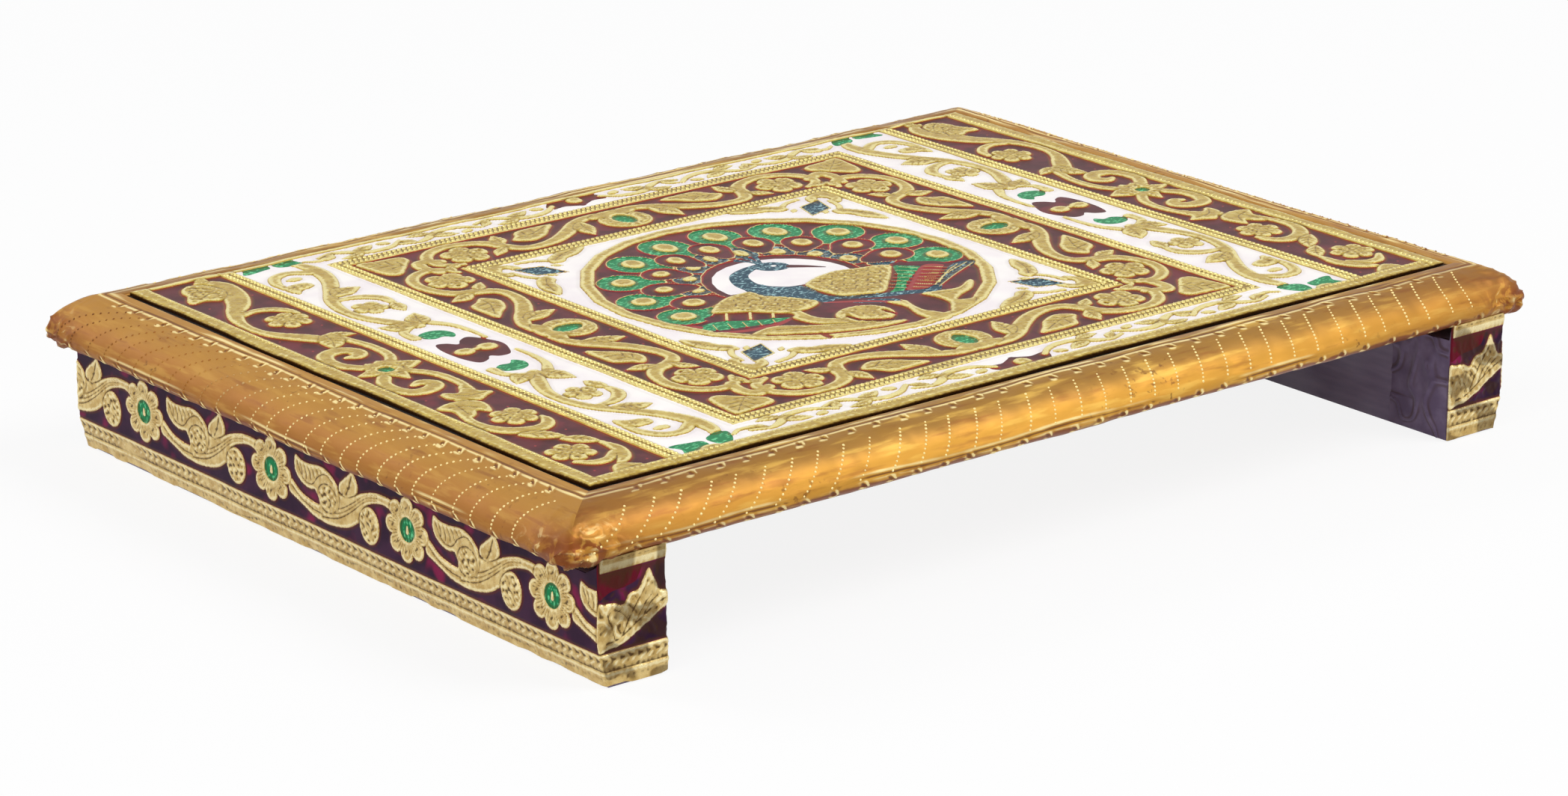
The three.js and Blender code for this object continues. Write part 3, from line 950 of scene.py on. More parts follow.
class MeshMaker:
    """Collects the vertices, faces and stored numbers of one piece, in millimetres."""

    def __init__(self, name: str) -> None:
        """Starts an empty piece.

        Args:
            name: its name.
        """
        self.name = name
        self.blocks: list[Array] = []
        self.faces: list[tuple[Array, Array]] = []
        self.numbers: dict[str, list[tuple[int, Array]]] = {}
        self.count = 0

    def points(self, places: Array, **numbers: Array) -> Array:
        """Adds vertices.

        Args:
            places: an array whose last axis is x, y, z.
            numbers: values to store on them, of the same shape without that axis.

        Returns:
            The index of each, in the shape of the array.
        """
        shape = places.shape[:-1]
        start = self.count
        self.blocks.append(places.reshape(-1, 3))
        self.count += int(np.prod(shape))
        for key, values in numbers.items():
            self.numbers.setdefault(key, []).append((start, np.broadcast_to(values, shape).ravel()))
        return np.arange(start, self.count).reshape(shape)

    def polygons(self, corners: Array) -> None:
        """Adds faces that all have the same number of corners, one row each."""
        if len(corners):
            self.faces.append((corners.ravel(), np.full(len(corners), corners.shape[1])))

    def polygon(self, corners: Sequence[int]) -> None:
        """Adds one face with any number of corners."""
        self.faces.append((np.asarray(corners, int), np.array([len(corners)])))

    def skin(self, index: Array, keep: Optional[Array] = None, flip: bool = False) -> None:
        """Covers a grid of vertices with quads.

        Args:
            index: the grid, rows by columns.
            keep: which cells are covered, or all.
            flip: whether the faces look the other way.
        """
        quads = np.stack([index[:-1, :-1], index[:-1, 1:], index[1:, 1:], index[1:, :-1]], axis=-1)
        quads = quads[keep] if keep is not None else quads.reshape(-1, 4)
        self.polygons(quads[:, ::-1] if flip else quads)

    def wall(self, top: Array, bottom: Array) -> None:
        """Joins two matching lines of vertices with quads."""
        self.polygons(np.stack([top[:-1], bottom[:-1], bottom[1:], top[1:]], axis=-1))

    def domes(self, loops: Sequence[Array], tops: Array) -> None:
        """Covers domes whose vertices are there, with their flat feet.

        Args:
            loops: the rings of all domes, level by level from the foot, one row for each dome.
            tops: the top vertex of each dome.
        """
        for lower, upper in zip(loops, loops[1:]):
            quads = np.stack([lower, np.roll(lower, -1, 1), np.roll(upper, -1, 1), upper], -1)
            self.polygons(quads.reshape(-1, 4))
        last = loops[-1]
        fans = np.stack([last, np.roll(last, -1, 1), np.broadcast_to(tops[:, None], last.shape)], -1)
        self.polygons(fans.reshape(-1, 3))
        self.polygons(loops[0][:, ::-1])

    def build(self, uv: Optional[Callable[[Array], Array]] = None) -> Piece:
        """Makes the object, shaded smooth except at sharp edges.

        Args:
            uv: gives a flat place, 0 to 1, for each vertex, for maps that are baked.

        Returns:
            The object, linked to the scene.
        """
        places = np.vstack(self.blocks)
        corners = np.concatenate([f[0] for f in self.faces]).astype(np.int32)
        totals = np.concatenate([f[1] for f in self.faces]).astype(np.int32)
        mesh = bpy.data.meshes.new(self.name)
        mesh.vertices.add(len(places))
        mesh.vertices.foreach_set("co", (places * MM).astype(np.float32).ravel())
        mesh.loops.add(len(corners))
        mesh.loops.foreach_set("vertex_index", corners)
        mesh.polygons.add(len(totals))
        mesh.polygons.foreach_set("loop_start", np.r_[0, np.cumsum(totals)[:-1]].astype(np.int32))
        mesh.polygons.foreach_set("loop_total", totals)
        mesh.polygons.foreach_set("use_smooth", np.full(len(totals), True))
        for key, parts in self.numbers.items():
            values = np.zeros(len(places), np.float32)
            for start, part in parts:
                values[start : start + len(part)] = part
            mesh.attributes.new(key, "FLOAT", "POINT").data.foreach_set("value", values)
        if uv is not None:
            layer = mesh.uv_layers.new(name="OFBake")
            layer.data.foreach_set("uv", uv(places)[corners].astype(np.float32).ravel())
        mesh.update(calc_edges=True)
        mesh.validate()
        piece = bpy.data.objects.new(self.name, mesh)
        bpy.context.scene.collection.objects.link(piece)
        mesh.set_sharp_from_angle(angle=SHARP_ANGLE)
        return piece


def settle(piece: Piece, material: Material, slot: Slot, *nodes: str) -> Piece:
    """Gives a piece its material and its body, and hides the CAD nodes that it stands for.

    Args:
        piece: the piece.
        material: its finish.
        slot: not used.
        nodes: the CAD nodes that it replaces, if any.

    Returns:
        The piece.
    """
    piece.data.materials.append(material)
    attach(piece, BODY)
    if nodes:
        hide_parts(*nodes)
    LOG.info("%s: %d faces", piece.name, len(piece.data.polygons))
    return piece


@dataclass
class Region:
    """A rectangle of the top sheet with its own grid, with or without a rectangular opening."""

    name: str
    low: Point
    high: Point
    step: float
    opening: Optional[tuple[Point, Point]] = None

    def axis(self, k: int) -> Array:
        """The grid lines along X or Y, which meet the opening's edges.

        Args:
            k: 0 for X, 1 for Y.

        Returns:
            The lines' places.
        """
        stops = [self.low[k], self.high[k]]
        if self.opening:
            stops[1:1] = [self.opening[0][k], self.opening[1][k]]
        parts = [even_line(a, b, self.step) for a, b in zip(stops, stops[1:])]
        return np.concatenate([parts[0]] + [part[1:] for part in parts[1:]])


@dataclass
class TopSheet:
    """The embossed and enamelled sheet that faces the board."""

    half_length: float = 172.5
    half_depth: float = 119.5
    underside: float = 52.6
    surface: float = 53.2
    rise: float = 0.62
    shift_back: float = 2.0
    bead_line: float = 5.5
    strip_outer: float = 166.0
    strip_inner: float = 140.0
    square_outer: Point = (101.3, 98.2)
    square_inner: Point = (76.0, 73.5)
    ring_outer: float = 66.5
    ring_inner: float = 61.8
    rim_front: float = 6.5
    rim_back: float = 2.5
    groove_gap: float = 0.9
    overlap: float = 0.6
    bead_offset: float = 1.35
    bead_sink: float = 0.26
    rim_bead_line: float = 1.6
    side_strip: float = 153.0
    white_strip: float = 121.0
    strip_middle: float = 4.0
    pattern_middle: float = -1.0
    band_line: float = 107.4
    frame_corner: Point = (88.6, 85.8)
    finish: EnamelledSheet = EnamelledSheet(
        "top_enamel_work", shade(74, 26, 32), shade(96, 38, 44), shade(112, 36, 46), shade(158, 44, 46)
    )
    pieces: list[Piece] = field(default_factory=list)

    @property
    def field_front(self) -> float:
        """Where the enamelled field starts behind the front rim."""
        return self.rim_front - self.half_depth

    @property
    def field_back(self) -> float:
        """Where the enamelled field ends before the back rim."""
        return self.half_depth - self.rim_back

    def square(self, half: Point, grow: float = 0.0) -> tuple[Point, Point]:
        """The corners of a square frame about the pattern's centre.

        Args:
            half: half its sides.
            grow: how much further out it lies.

        Returns:
            The lower and the upper corner.
        """
        x = half[0] + grow
        y = half[1] + grow
        return (-x, self.shift_back - y), (x, self.shift_back + y)

    def regions(self) -> list[Region]:
        """The rectangles that the sheet is meshed in.

        Returns:
            The regions.
        """
        frame_edge = self.square(self.square_outer, self.bead_line - self.overlap)
        centre_edge = self.square(self.square_inner, -self.overlap)
        front, back = -self.half_depth, self.half_depth
        strip = self.strip_inner - self.overlap
        return [
            Region("sheet_side_strip_left", (-self.half_length, front), (-strip, back), 0.42),
            Region("sheet_side_strip_right", (strip, front), (self.half_length, back), 0.42),
            Region("sheet_white_field", (-strip, front), (strip, back), 0.5, frame_edge),
            Region("sheet_square_frame", *frame_edge, 0.44, centre_edge),
            Region("sheet_centre", *centre_edge, 0.48),
        ]

    def build(self) -> None:
        """Draws the pattern on each region, meshes it and adds the beaded lines."""
        material = self.finish.material()
        for region in self.regions():
            drawing = Drawing(region.axis(0), region.axis(1))
            self.draw(drawing)
            self.pieces.append(self.mesh(region, drawing, material))
        self.pieces.append(self.bead_rows(material))

    def mesh(self, region: Region, drawing: Drawing, material: Material) -> Piece:
        """Makes one region's closed solid.

        Args:
            region: its rectangle.
            drawing: what is drawn on its grid.
            material: its finish.

        Returns:
            The piece.
        """
        x, y = np.meshgrid(drawing.xs, drawing.ys)
        relief = self.relief(drawing, x, y)
        # The sunk beds of the beaded lines get a lower crest, which paints shade between the beads.
        crest = np.clip(crests(relief, drawing.reach) - 0.55 * drawing.sunk, -1, 1)
        height = self.surface + relief
        x, y = self.drawn_in(x, y)
        maker = MeshMaker(region.name)
        top = maker.points(np.stack([x, y, height], -1), crest=crest, **drawing.numbers())
        rows, columns = top.shape
        loops = [(0, rows - 1, 0, columns - 1)]
        keep = None
        if region.opening:
            (x0, y0), (x1, y1) = region.opening
            c0, c1 = np.searchsorted(drawing.xs, (x0 - 0.01, x1 - 0.01))
            r0, r1 = np.searchsorted(drawing.ys, (y0 - 0.01, y1 - 0.01))
            keep = np.ones((rows - 1, columns - 1), bool)
            keep[r0:r1, c0:c1] = False
            loops.append((r0, r1, c0, c1))
        maker.skin(top, keep)
        floors = []
        for hand, (r0, r1, c0, c1) in zip((1, -1), loops):
            edges = [top[r0, c0 : c1 + 1], top[r0 : r1 + 1, c1]]
            edges += [top[r1, c0 : c1 + 1][::-1], top[r0 : r1 + 1, c0][::-1]]
            line = np.concatenate([edge[:-1] for edge in edges])
            where = np.stack([x.ravel()[line], y.ravel()[line], np.full(len(line), self.underside)], -1)
            # The rim walls are gold at the deepest crest and fully darkened: painted shade in the gap round
            # the sheet.
            below = maker.points(where, gold=np.float64(0.6), crest=np.float64(-1.0), grime=np.float64(3.0))
            upper, lower = np.append(line, line[0]), np.append(below, below[0])
            maker.wall(*(part[::hand] for part in (upper, lower)))
            stops = np.cumsum([0] + [len(edge) - 1 for edge in edges])
            floors.append([lower[a : b + 1] for a, b in zip(stops, stops[1:])])
        if len(floors) == 1:
            maker.polygon(np.concatenate([edge[:-1] for edge in floors[0]])[::-1])
        else:
            for outer, inner in zip(*floors):
                maker.polygon(np.concatenate([inner, outer[::-1]]))
        low, size = places_box(maker)
        piece = maker.build(lambda p: (p[:, :2] - low) / size * 0.98 + 0.01)
        return settle(piece, material, Slot.TOP, "top_sheet")

    def relief(self, drawing: Drawing, x: Array, y: Array) -> Array:
        """How far each point stands above the sheet's plane.

        Args:
            drawing: what is drawn.
            x: the points' X.
            y: their Y.

        Returns:
            The heights.
        """
        gold = drawing.layers[Enamel.GOLD]
        raised = self.rise * (1 - np.exp(-np.clip(gold + 0.15, 0, None) / 0.4))
        raised = raised + 0.05 * bell(gold - 0.55, 0.35)
        cut = 0.16 * drawing.groove * (gold > 0.15)
        pillow = 0.05 * (1 - np.exp(-np.clip(-gold, 0, None) / 0.7))
        pebbles = 0.05 * drawing.pebble * Waves(11, 1.7).at(x, y)
        stipple = 0.022 * (gold > 0) * Waves(13, 1.7).at(x, y)
        uneven = 0.06 * Waves(5, 45).at(x, y)
        edge = np.minimum(self.half_length - np.abs(x), self.half_depth - np.abs(y))
        lifted = 0.3 * np.clip(Waves(7, 30).at(x, y), -0.2, 1) * bell(edge, 4)
        worked = raised - cut - pillow + pebbles + stipple + uneven + lifted
        return worked - 0.22 * drawing.sunk - 0.3 * bell(edge, 0.8)

    def drawn_in(self, x: Array, y: Array) -> tuple[Array, Array]:
        """Draws the sheet's rim in by an uneven gap, which leaves the dark groove round it open.

        Args:
            x: the flat places' X.
            y: their Y.

        Returns:
            The places as they lie.
        """
        gap = self.groove_gap * np.clip(0.5 + 0.5 * Waves(9, 70).at(x, y), 0.12, 1)
        return (
            x - np.sign(x) * gap * bell(self.half_length - np.abs(x), 2.5),
            y - np.sign(y) * gap * bell(self.half_depth - np.abs(y), 2.5),
        )

    def draw(self, drawing: Drawing) -> None:
        """Draws the whole pattern, as far as it reaches the drawing's grid.

        Args:
            drawing: what it is drawn on.
        """
        pen = Pen(drawing)
        self.draw_fields(pen)
        front = (self.pattern_middle - 1, 0.0)
        back = (self.pattern_middle, 2 * self.shift_back)
        for hand in (-1, 1):
            self.draw_side_strip(Pen(drawing, (hand * self.side_strip, self.strip_middle), (-hand, 0.0)))
            self.draw_white_strip(Pen(drawing, (hand * self.white_strip, self.strip_middle), (-hand, 0.0)))
            self.draw_white_band(Pen(drawing, front, (hand, 0.0)))
            self.draw_white_band(Pen(drawing, back, (hand, 0.0), (0.0, -1.0)))
        self.draw_frame_sprays(drawing)
        self.draw_centre(pen)
        self.draw_lines(pen)

    def draw_fields(self, pen: Pen) -> None:
        """Lays the white fields and the square of maroon within them.

        Args:
            pen: what draws them.
        """
        strip = self.strip_inner - self.bead_line
        pen.rectangle(Enamel.WHITE, -strip, self.field_front, strip, self.field_back)
        (x0, y0), (x1, y1) = self.square(self.square_outer)
        pen.rectangle(None, x0, y0, x1, y1)
        (x0, y0), (x1, y1) = self.square(self.square_inner, -self.bead_line)
        pen.rectangle(Enamel.WHITE, x0, y0, x1, y1)

    def draw_lines(self, pen: Pen) -> None:
        """Lays the gold rim, the lines beside the strips and the two square frames, sunk for their beads.

        Args:
            pen: what draws them.
        """
        length, depth = self.half_length + 2, self.half_depth + 2
        pen.rectangle(Enamel.GOLD, -length, -depth, length, self.field_front)
        pen.rectangle(Enamel.GOLD, -length, self.field_back, length, depth)
        for hand in (-1, 1):
            outer = sorted((hand * length, hand * self.strip_outer))
            inner = sorted((hand * self.strip_inner, hand * (self.strip_inner - self.bead_line)))
            pen.rectangle(Enamel.GOLD, outer[0], -depth, outer[1], depth)
            pen.rectangle(Enamel.GOLD, inner[0], -depth, inner[1], depth)
            pen.sink(inner[0], self.field_front, inner[1], self.field_back)
        width = self.bead_line
        for half in ((self.square_outer[0] + width, self.square_outer[1] + width), self.square_inner):
            (x0, y0), (x1, y1) = self.square(half)
            bars = [(x0, y0, x1, y0 + width), (x0, y1 - width, x1, y1)]
            bars += [(x0, y0, x0 + width, y1), (x1 - width, y0, x1, y1)]
            for bar in bars:
                pen.rectangle(Enamel.GOLD, *bar)
            for bar in bars:
                pen.sink(*bar)

    def draw_side_strip(self, pen: Pen) -> None:
        """Draws the climbing vine of a side strip.

        Args:
            pen: X runs from the strip's middle towards the stool's middle.
        """
        pen.blob(
            "-12.6,0 -8,2.6 -6.5,6 -4,8.5 -2,7.5 0.5,9 3.5,6.5 8.5,3.6 11.5,1 8,-1.8 4,-4 1.5,-7 -1,-11 "
            "-4,-6.5 -7,-4 -12.2,-1.4", rough=True,
        )
        pen.oval((-2, 0), (2.5, 2.4), Enamel.GREEN)
        for side, far in ((1, 1.0), (-1, 0.96)):
            hand = pen.mirrored(across_y=side < 0)
            hand.vine(
                (-7, 6, 2.4), (-10.3, 11, 2.5), (-10.8, 17.5, 2.7), (-8.2, 23, 2.9), (-3.2, 24.6 * far, 3),
                (0.4, 22.5 * far, 3), (1.2, 19, 2.9), (-1, 16.4, 2.3), (-4.2, 17.2, 1.2),
            )
            hand.vine("3,5,2.1 6.5,10,2 8,16,1.9 8,23,1.8 6.8,29,1.8 5,35,2.2")
        # The upper half of the climbing vine
        pen.vine(
            "1,36,3.4 -4,43,3.3 -8,49,2.6 -10.3,56,1.9 -10.3,64,2 -8.4,71,2.6 -4.5,77.5,3.2 0.2,83,3.9 "
            "4,90,4.3 6.6,97,4 7.8,103,3.2 6,108,2.2 2.5,109.8,1.4",
        )
        pen.leaf((1, 39), (12, 35.6), 3.0, 0.6)
        pen.leaf((3, 40), (-2.4, 26.6), 4.2, 1.0)
        pen.leaf((4, 108), (7, 114.5), 2.4, 0.5)
        pen.blob(
            "-1,109.6 -5,107.6 -7.2,103.6 -7.6,100.4 -10.6,95.6 -10.2,92.4 -5.4,92.8 -0.5,90.4 4,95 "
            "5.4,101 3.4,107", rough=True,
        )
        pen.line("4,92 0,98 -6,95")
        pen.line("2,97 -2,102 -6,101")
        pen.line("3,101 0,105 -3,107")
        pen.vine("-5,72.5,1.3 0,74.2,1.7 5,72.8,2 8.6,69,1.9 9.6,64.6,1.3")
        pen.flower((3.4, 60), 6.9, 6, 10)
        # The lower half
        pen.vine("6,-28,1.5 3.5,-33,2.2 -1,-37,2.6")
        pen.blob("-4.2,-31 -2.4,-29.4 1,-31.8 4,-29.4 7,-31 8,-34 10.8,-36.8 7,-39 3,-41 -1,-38 -4,-35.5")
        pen.line("-2,-32 2,-36 8,-36.6")
        pen.blob(
            "-12.6,-40.4 -8,-38 -3,-38.4 1,-40.5 2.6,-44 1.2,-49 -1,-51.8 -3.4,-48.6 -6,-51.5 -9.4,-53 "
            "-10.6,-49 -10.2,-45",
        )
        pen.line("-9,-42 -4,-44 -1,-49")
        pen.line("-6,-41 -7,-46 -8,-50")
        pen.vine(
            "-9.5,-50,1.6 -11,-57,1.8 -10.6,-64,2.4 -7,-70,2.8 -1,-73,2.8 4,-72,2.4 7,-68.5,2 7.6,-65,1.2",
        )
        pen.flower((1.6, -59.5), 7.0, 6, 0)
        pen.leaf((-7.5, -74), (3, -84.5), 3.3, 0.8)
        pen.leaf((0, -84), (8, -94), 3.2, 0.8)
        pen.vine("7.4,-94,1.1 7.6,-101,2.3 5,-107.5,2.3 0.5,-112,1.4")
        pen.vine("4.5,-103,1.5 0,-107,2 -5,-107.2,2 -9,-103.5,1.3")
        pen.flower((-5, -95.5), 6.9, 6, 20)
        pen.blob("-5.5,-119 -5,-115 -2,-112 2,-113.4 5.4,-117 5,-120")
        pen.dots("6.5,75 -8.5,86 9,50 -8,30 9.5,12 -9.5,-31 6,-50.5 6.5,-78 -9,-84")
        pen.dots("-9,-112 9,-113 10,90 -10.6,44")

    def draw_white_strip(self, pen: Pen) -> None:
        """Draws the thin gold scrolls of a white strip, alike above and below its middle flower.

        Args:
            pen: X runs from the strip's middle towards the stool's middle.
        """
        for side in (1, -1):
            half = pen.mirrored(across_y=side > 0)
            half.vine(
                "-1,-30,2.5 -6,-39,2.7 -9.6,-48,2.3 -10,-58,2.3 -7,-68,2.5 -1,-77,2.7 4.5,-86,2.9 "
                "7.4,-95,3.2 7.6,-103,2.7 5.5,-109,1.6",
            )
            half.vine("8.6,-8,0.9 8.8,-16,1.2 7.5,-24,1.5 4,-30,2")
            half.vine("-9.2,-20,2.1 -9,-26,1.7 -5,-30,2")
            half.leaf((-2, -29.5), (-12, -36), 3.7, -1.0)
            half.leaf((1, -30), (5.8, -42), 4.2, -0.5)
            half.vine("-9,-66,1.3 -3,-67,1.7 3,-65,2.3 7,-60.5,2.3 7.2,-55,1.5")
            half.leaf((7.2, -55), (5.4, -45.5), 3.0, 0.4)
            half.flower((-1.8, -54.6), 5.6, 5, 24)
            half.leaf((-4, -71), (8.8, -75), 4.2, -1.2)
            half.vine("5.5,-97,2.4 -1,-101,2.1 -7,-99.5,2.2 -10.4,-93.5,2 -10.8,-87.5,1.4")
            half.blob(
                "-12,-84 -10.4,-80.4 -7.6,-83 -4,-84 -1.2,-86 -2.4,-89.4 -8,-90 -11.4,-88", rough=True,
            )
            half.oval((-3.2, -94.4), (3, 1.8))
            half.blob(
                "-7,-19 -6.2,-22.6 -1.5,-24 2.6,-22.2 4,-18 1.8,-14.8 -0.6,-17 -4.2,-16.6",
                enamel=Enamel.GREEN,
            )
            half.blob(
                "-12.4,-109.4 -10,-108.6 -5,-109.6 -1.4,-110.6 -1.6,-114.6 -6,-116 -11.6,-116.6 "
                "-10.6,-113", enamel=Enamel.GREEN,
            )
            half.blob("0.6,-110.4 4,-108 9.6,-108 8.2,-113 4.6,-117 1.2,-115.4", enamel=Enamel.GREEN)
            half.oval((-3, -117.6), (4, 2.6))
        pen.blob(
            "-7.4,11.6 -4.2,10.8 -1.6,8 1,10.8 5.2,12 9,4.5 9.6,0 8.2,-4.5 5.4,-9.2 1.5,-9.4 -1,-7.4 "
            "-3.4,-10 -7.2,-11 -9.2,-6 -9.8,1 -9.2,7.5", enamel=None,
        )
        pen.oval((-5, 0), (3.6, 2.9))
        pen.oval((3.4, 0), (3.6, 3.1))
        pen.vine("-3,0,0.9 1,0,0.9")

    def draw_white_band(self, pen: Pen) -> None:
        """Draws half of the scrolls in the white band along the front.

        Args:
            pen: X runs out from the middle.
        """
        pen.blob(
            "-1,-105 2.5,-106 6,-107.6 11,-107 12,-109.5 9.5,-113 6,-114 3,-112.6 0,-114.4 -1,-114",
            enamel=None,
        )
        pen.oval((0, -110.6), (3, 3))
        for start, turn in ((10, 1), (42, -1), (72, 1)):
            origin = (pen.origin[0] + start * pen.x_axis[0], pen.origin[1] - self.band_line * pen.y_axis[1])
            bend = Pen(pen.drawing, origin, pen.x_axis, (0.0, turn * pen.y_axis[1]))
            bend.vine("0,-2,1 5,1.6,1.3 11,3,1.5 17,1.6,1.7 21,-1.6,1.6 26,-3.4,1.2 32,-1.6,0.9")
            bend.leaf((17, 2), (26.5, 3.4), 2.3, 0.9)
            bend.leaf((18.6, -1.4), (9.6, -3.6), 2.4, -0.7)
            bend.oval((6, -2.6), (2.6, 1.6), tilt=-20)
            bend.leaf((26, -3), (31.6, 2.2), 1.9, 0.4)
        pen.vine("100,-108,1.4 106,-106.4,1.1 110,-108.4,0.8")

    def draw_frame_sprays(self, drawing: Drawing) -> None:
        """Draws the same spray on each half of the square frame's four bars, and its corner leaves.

        Args:
            drawing: what they are drawn on.
        """
        middle = tuple((a + b) / 2 for a, b in zip(self.square_outer, self.square_inner))
        stretch = self.square_outer[1] / self.square_outer[0]
        bars = [
            ((self.pattern_middle, self.shift_back - middle[1]), (1, 0), (0, -1)),
            ((self.pattern_middle, self.shift_back + middle[1]), (1, 0), (0, 1)),
            ((-middle[0], self.shift_back + 1), (0, stretch), (-1, 0)),
            ((middle[0], self.shift_back + 1), (0, stretch), (1, 0)),
        ]
        for origin, along, outward in bars:
            for hand in (-1, 1):
                self.draw_spray(Pen(drawing, origin, (along[0] * hand, along[1] * hand), outward))
            pen = Pen(drawing, origin, along, outward)
            pen.oval((0, -1.5), (9.4, 8.9))
            pen.oval((0, -1.5), (8.4, 7.9), rough=True)
            pen.blob("-10,6 -4,9.6 0,10.2 4,9.6 10,6 4,3 -4,3")
            pen.blob("-3.4,0.5 -2.6,-4 0.6,-6.4 3,-3.4 3.2,1 1,4 -1.4,3.6", enamel=Enamel.GREEN)
        for x in (-1, 1):
            for y in (-1, 1):
                place = (x * self.frame_corner[0], self.shift_back + y * self.frame_corner[1])
                corner = Pen(drawing, place, (x, 0), (0, y))
                corner.vine("-5,-12,2 -3.4,-5,2.4 -5.6,0,2.6 -12,-2.6,2")
                corner.blob("11.4,11.6 11.2,4 9.6,-4.4 5.4,-6 1.2,-2 -2.2,1.6 -5.4,5.6 -4,9.6 4,10.8")
                corner.line("-2,-1 4,4.4 9.6,9.8")
                for t in (0.2, 0.42, 0.64):
                    base = (-2 + 11.6 * t, -1 + 10.8 * t)
                    corner.line(base, (base[0] + 4.6, base[1] - 1.2 + 2 * t))
                    corner.line(base, (base[0] - 1.4 + 2 * t, base[1] + 4.6))

    def draw_spray(self, pen: Pen) -> None:
        """Draws half a bar's vine.

        Args:
            pen: X runs from the bar's middle to the corner, Y outwards.
        """
        pen.vine(
            "5,8.2,2 11,7.4,2.4 17,4.2,2.8 24,-1.5,3 32,-6.3,2.7 40,-8.2,2.3 46,-7,2.4 49.6,-2,2.8 "
            "51.6,3.6,2.8 57,7.8,2.4 66,9.4,2.3 74,6.6,2.3 78.6,0,2.2 77.4,-6.4,1.9 71.5,-9.6,1.2",
        )
        pen.leaf((14.5, 4.5), (18.5, -9.6), 3.8, 0.8)
        pen.blob("43.5,1.6 38,-2.2 31.5,0 27,4.4 22.6,9.2 30,10 37.5,9.4 40.6,5.4")
        pen.line("42,2.6 35,3.6 26,8.2")
        pen.line("39,2.8 35,0.4")
        pen.line("35,3.6 31,1.6")
        pen.line("37,3.4 36,7.6")
        pen.line("33,4.4 32,8.4")
        pen.leaf((50, -3), (57.6, -8.6), 2.4, 0.5)
        pen.leaf((48.6, 1), (46, 10.8), 3.0, 0.3)
        pen.leaf((72, -9), (79.5, -11), 2.0, 0.4)
        pen.flower((65, -1.6), 7.6, 5, 30)
        pen.dots("9,-10.6 27.5,-9.6 58.5,-0.5 34,-10.8 61,-10.6 84,9")

    def draw_centre(self, pen: Pen) -> None:
        """Draws the white corners, the ring, the medallion's tail eyes and the peacock.

        Args:
            pen: what draws it.
        """
        centre = (self.pattern_middle, self.shift_back)
        for x in (-1, 1):
            for y in (-1, 1):
                corner = Pen(pen.drawing, centre, (x, 0), (0, y))
                corner.blob("71,69 62,66.4 59.6,61 62,59.8 65,63.4 67.4,60.6 65.6,57 68,55 72,60")
                for across in (False, True):
                    wing = corner.swapped() if across else corner
                    wing.vine("66,58,1.2 64.6,52,1.1 61,47,1.3")
                    wing.blob("59,49 58.4,44.6 61,41.4 62.6,36 67.4,30 69,34 68.6,39.4 66.6,44 63.4,48")
                    wing.line("61,46.4 64.6,41 67,34")
                    for base in ((62.6, 44.2), (64.8, 40.4), (66, 37)):
                        wing.line(base, (base[0] + 2.4, base[1] + 1.4), width=0.24)
                    wing.leaf((58, 50.6), (55, 47.4), 1.2, 0.0)
                corner.diamond((57, 55), 8.8, 4.7, Enamel.BLUE)
        pen.oval(centre, (self.ring_outer, self.ring_outer))
        pen.oval(centre, (self.ring_inner, self.ring_inner), None)
        Peacock(pen).draw()

    def bead_rows(self, material: Material) -> Piece:
        """Sets rows of small beads along the gold lines.

        Args:
            material: their finish.

        Returns:
            The beads, as one piece.
        """
        rows: list[tuple[Point, Point]] = []
        half = self.bead_line / 2
        for hand in (-1, 1):
            for offset in (-self.bead_offset, self.bead_offset):
                x = hand * (self.strip_inner - half) + offset
                rows.append(((x, self.field_front + 0.6), (x, self.field_back - 0.6)))
            x = hand * (self.strip_outer + self.rim_bead_line)
            y = self.half_depth - self.rim_bead_line
            rows.append(((x, -y), (x, y)))
        y = self.field_front - self.rim_bead_line
        rows.append(((-self.strip_outer, y), (self.strip_outer, y)))
        outer = (self.square_outer[0] + half, self.square_outer[1] + half)
        inner = (self.square_inner[0] - half, self.square_inner[1] - half)
        for square in (outer, inner):
            for offset in (-self.bead_offset, self.bead_offset):
                (x0, y0), (x1, y1) = self.square(square, offset)
                corners = ((x0, y0), (x1, y0), (x1, y1), (x0, y1), (x0, y0))
                rows += zip(corners, corners[1:])
        beads = BeadMaker("sheet_bead_rows")
        for start, end in rows:
            beads.row(start, end, self.surface + self.rise - self.bead_sink)
        return settle(beads.maker.build(), material, Slot.TOP)


def places_box(maker: MeshMaker) -> tuple[Array, float]:
    """The lowest corner in X and Y of what a maker holds, and its larger side.

    Args:
        maker: the mesh so far.

    Returns:
        The corner and the side, in millimetres.
    """
    places = np.vstack(maker.blocks)[:, :2]
    low = places.min(0)
    return low, float((places.max(0) - low).max())


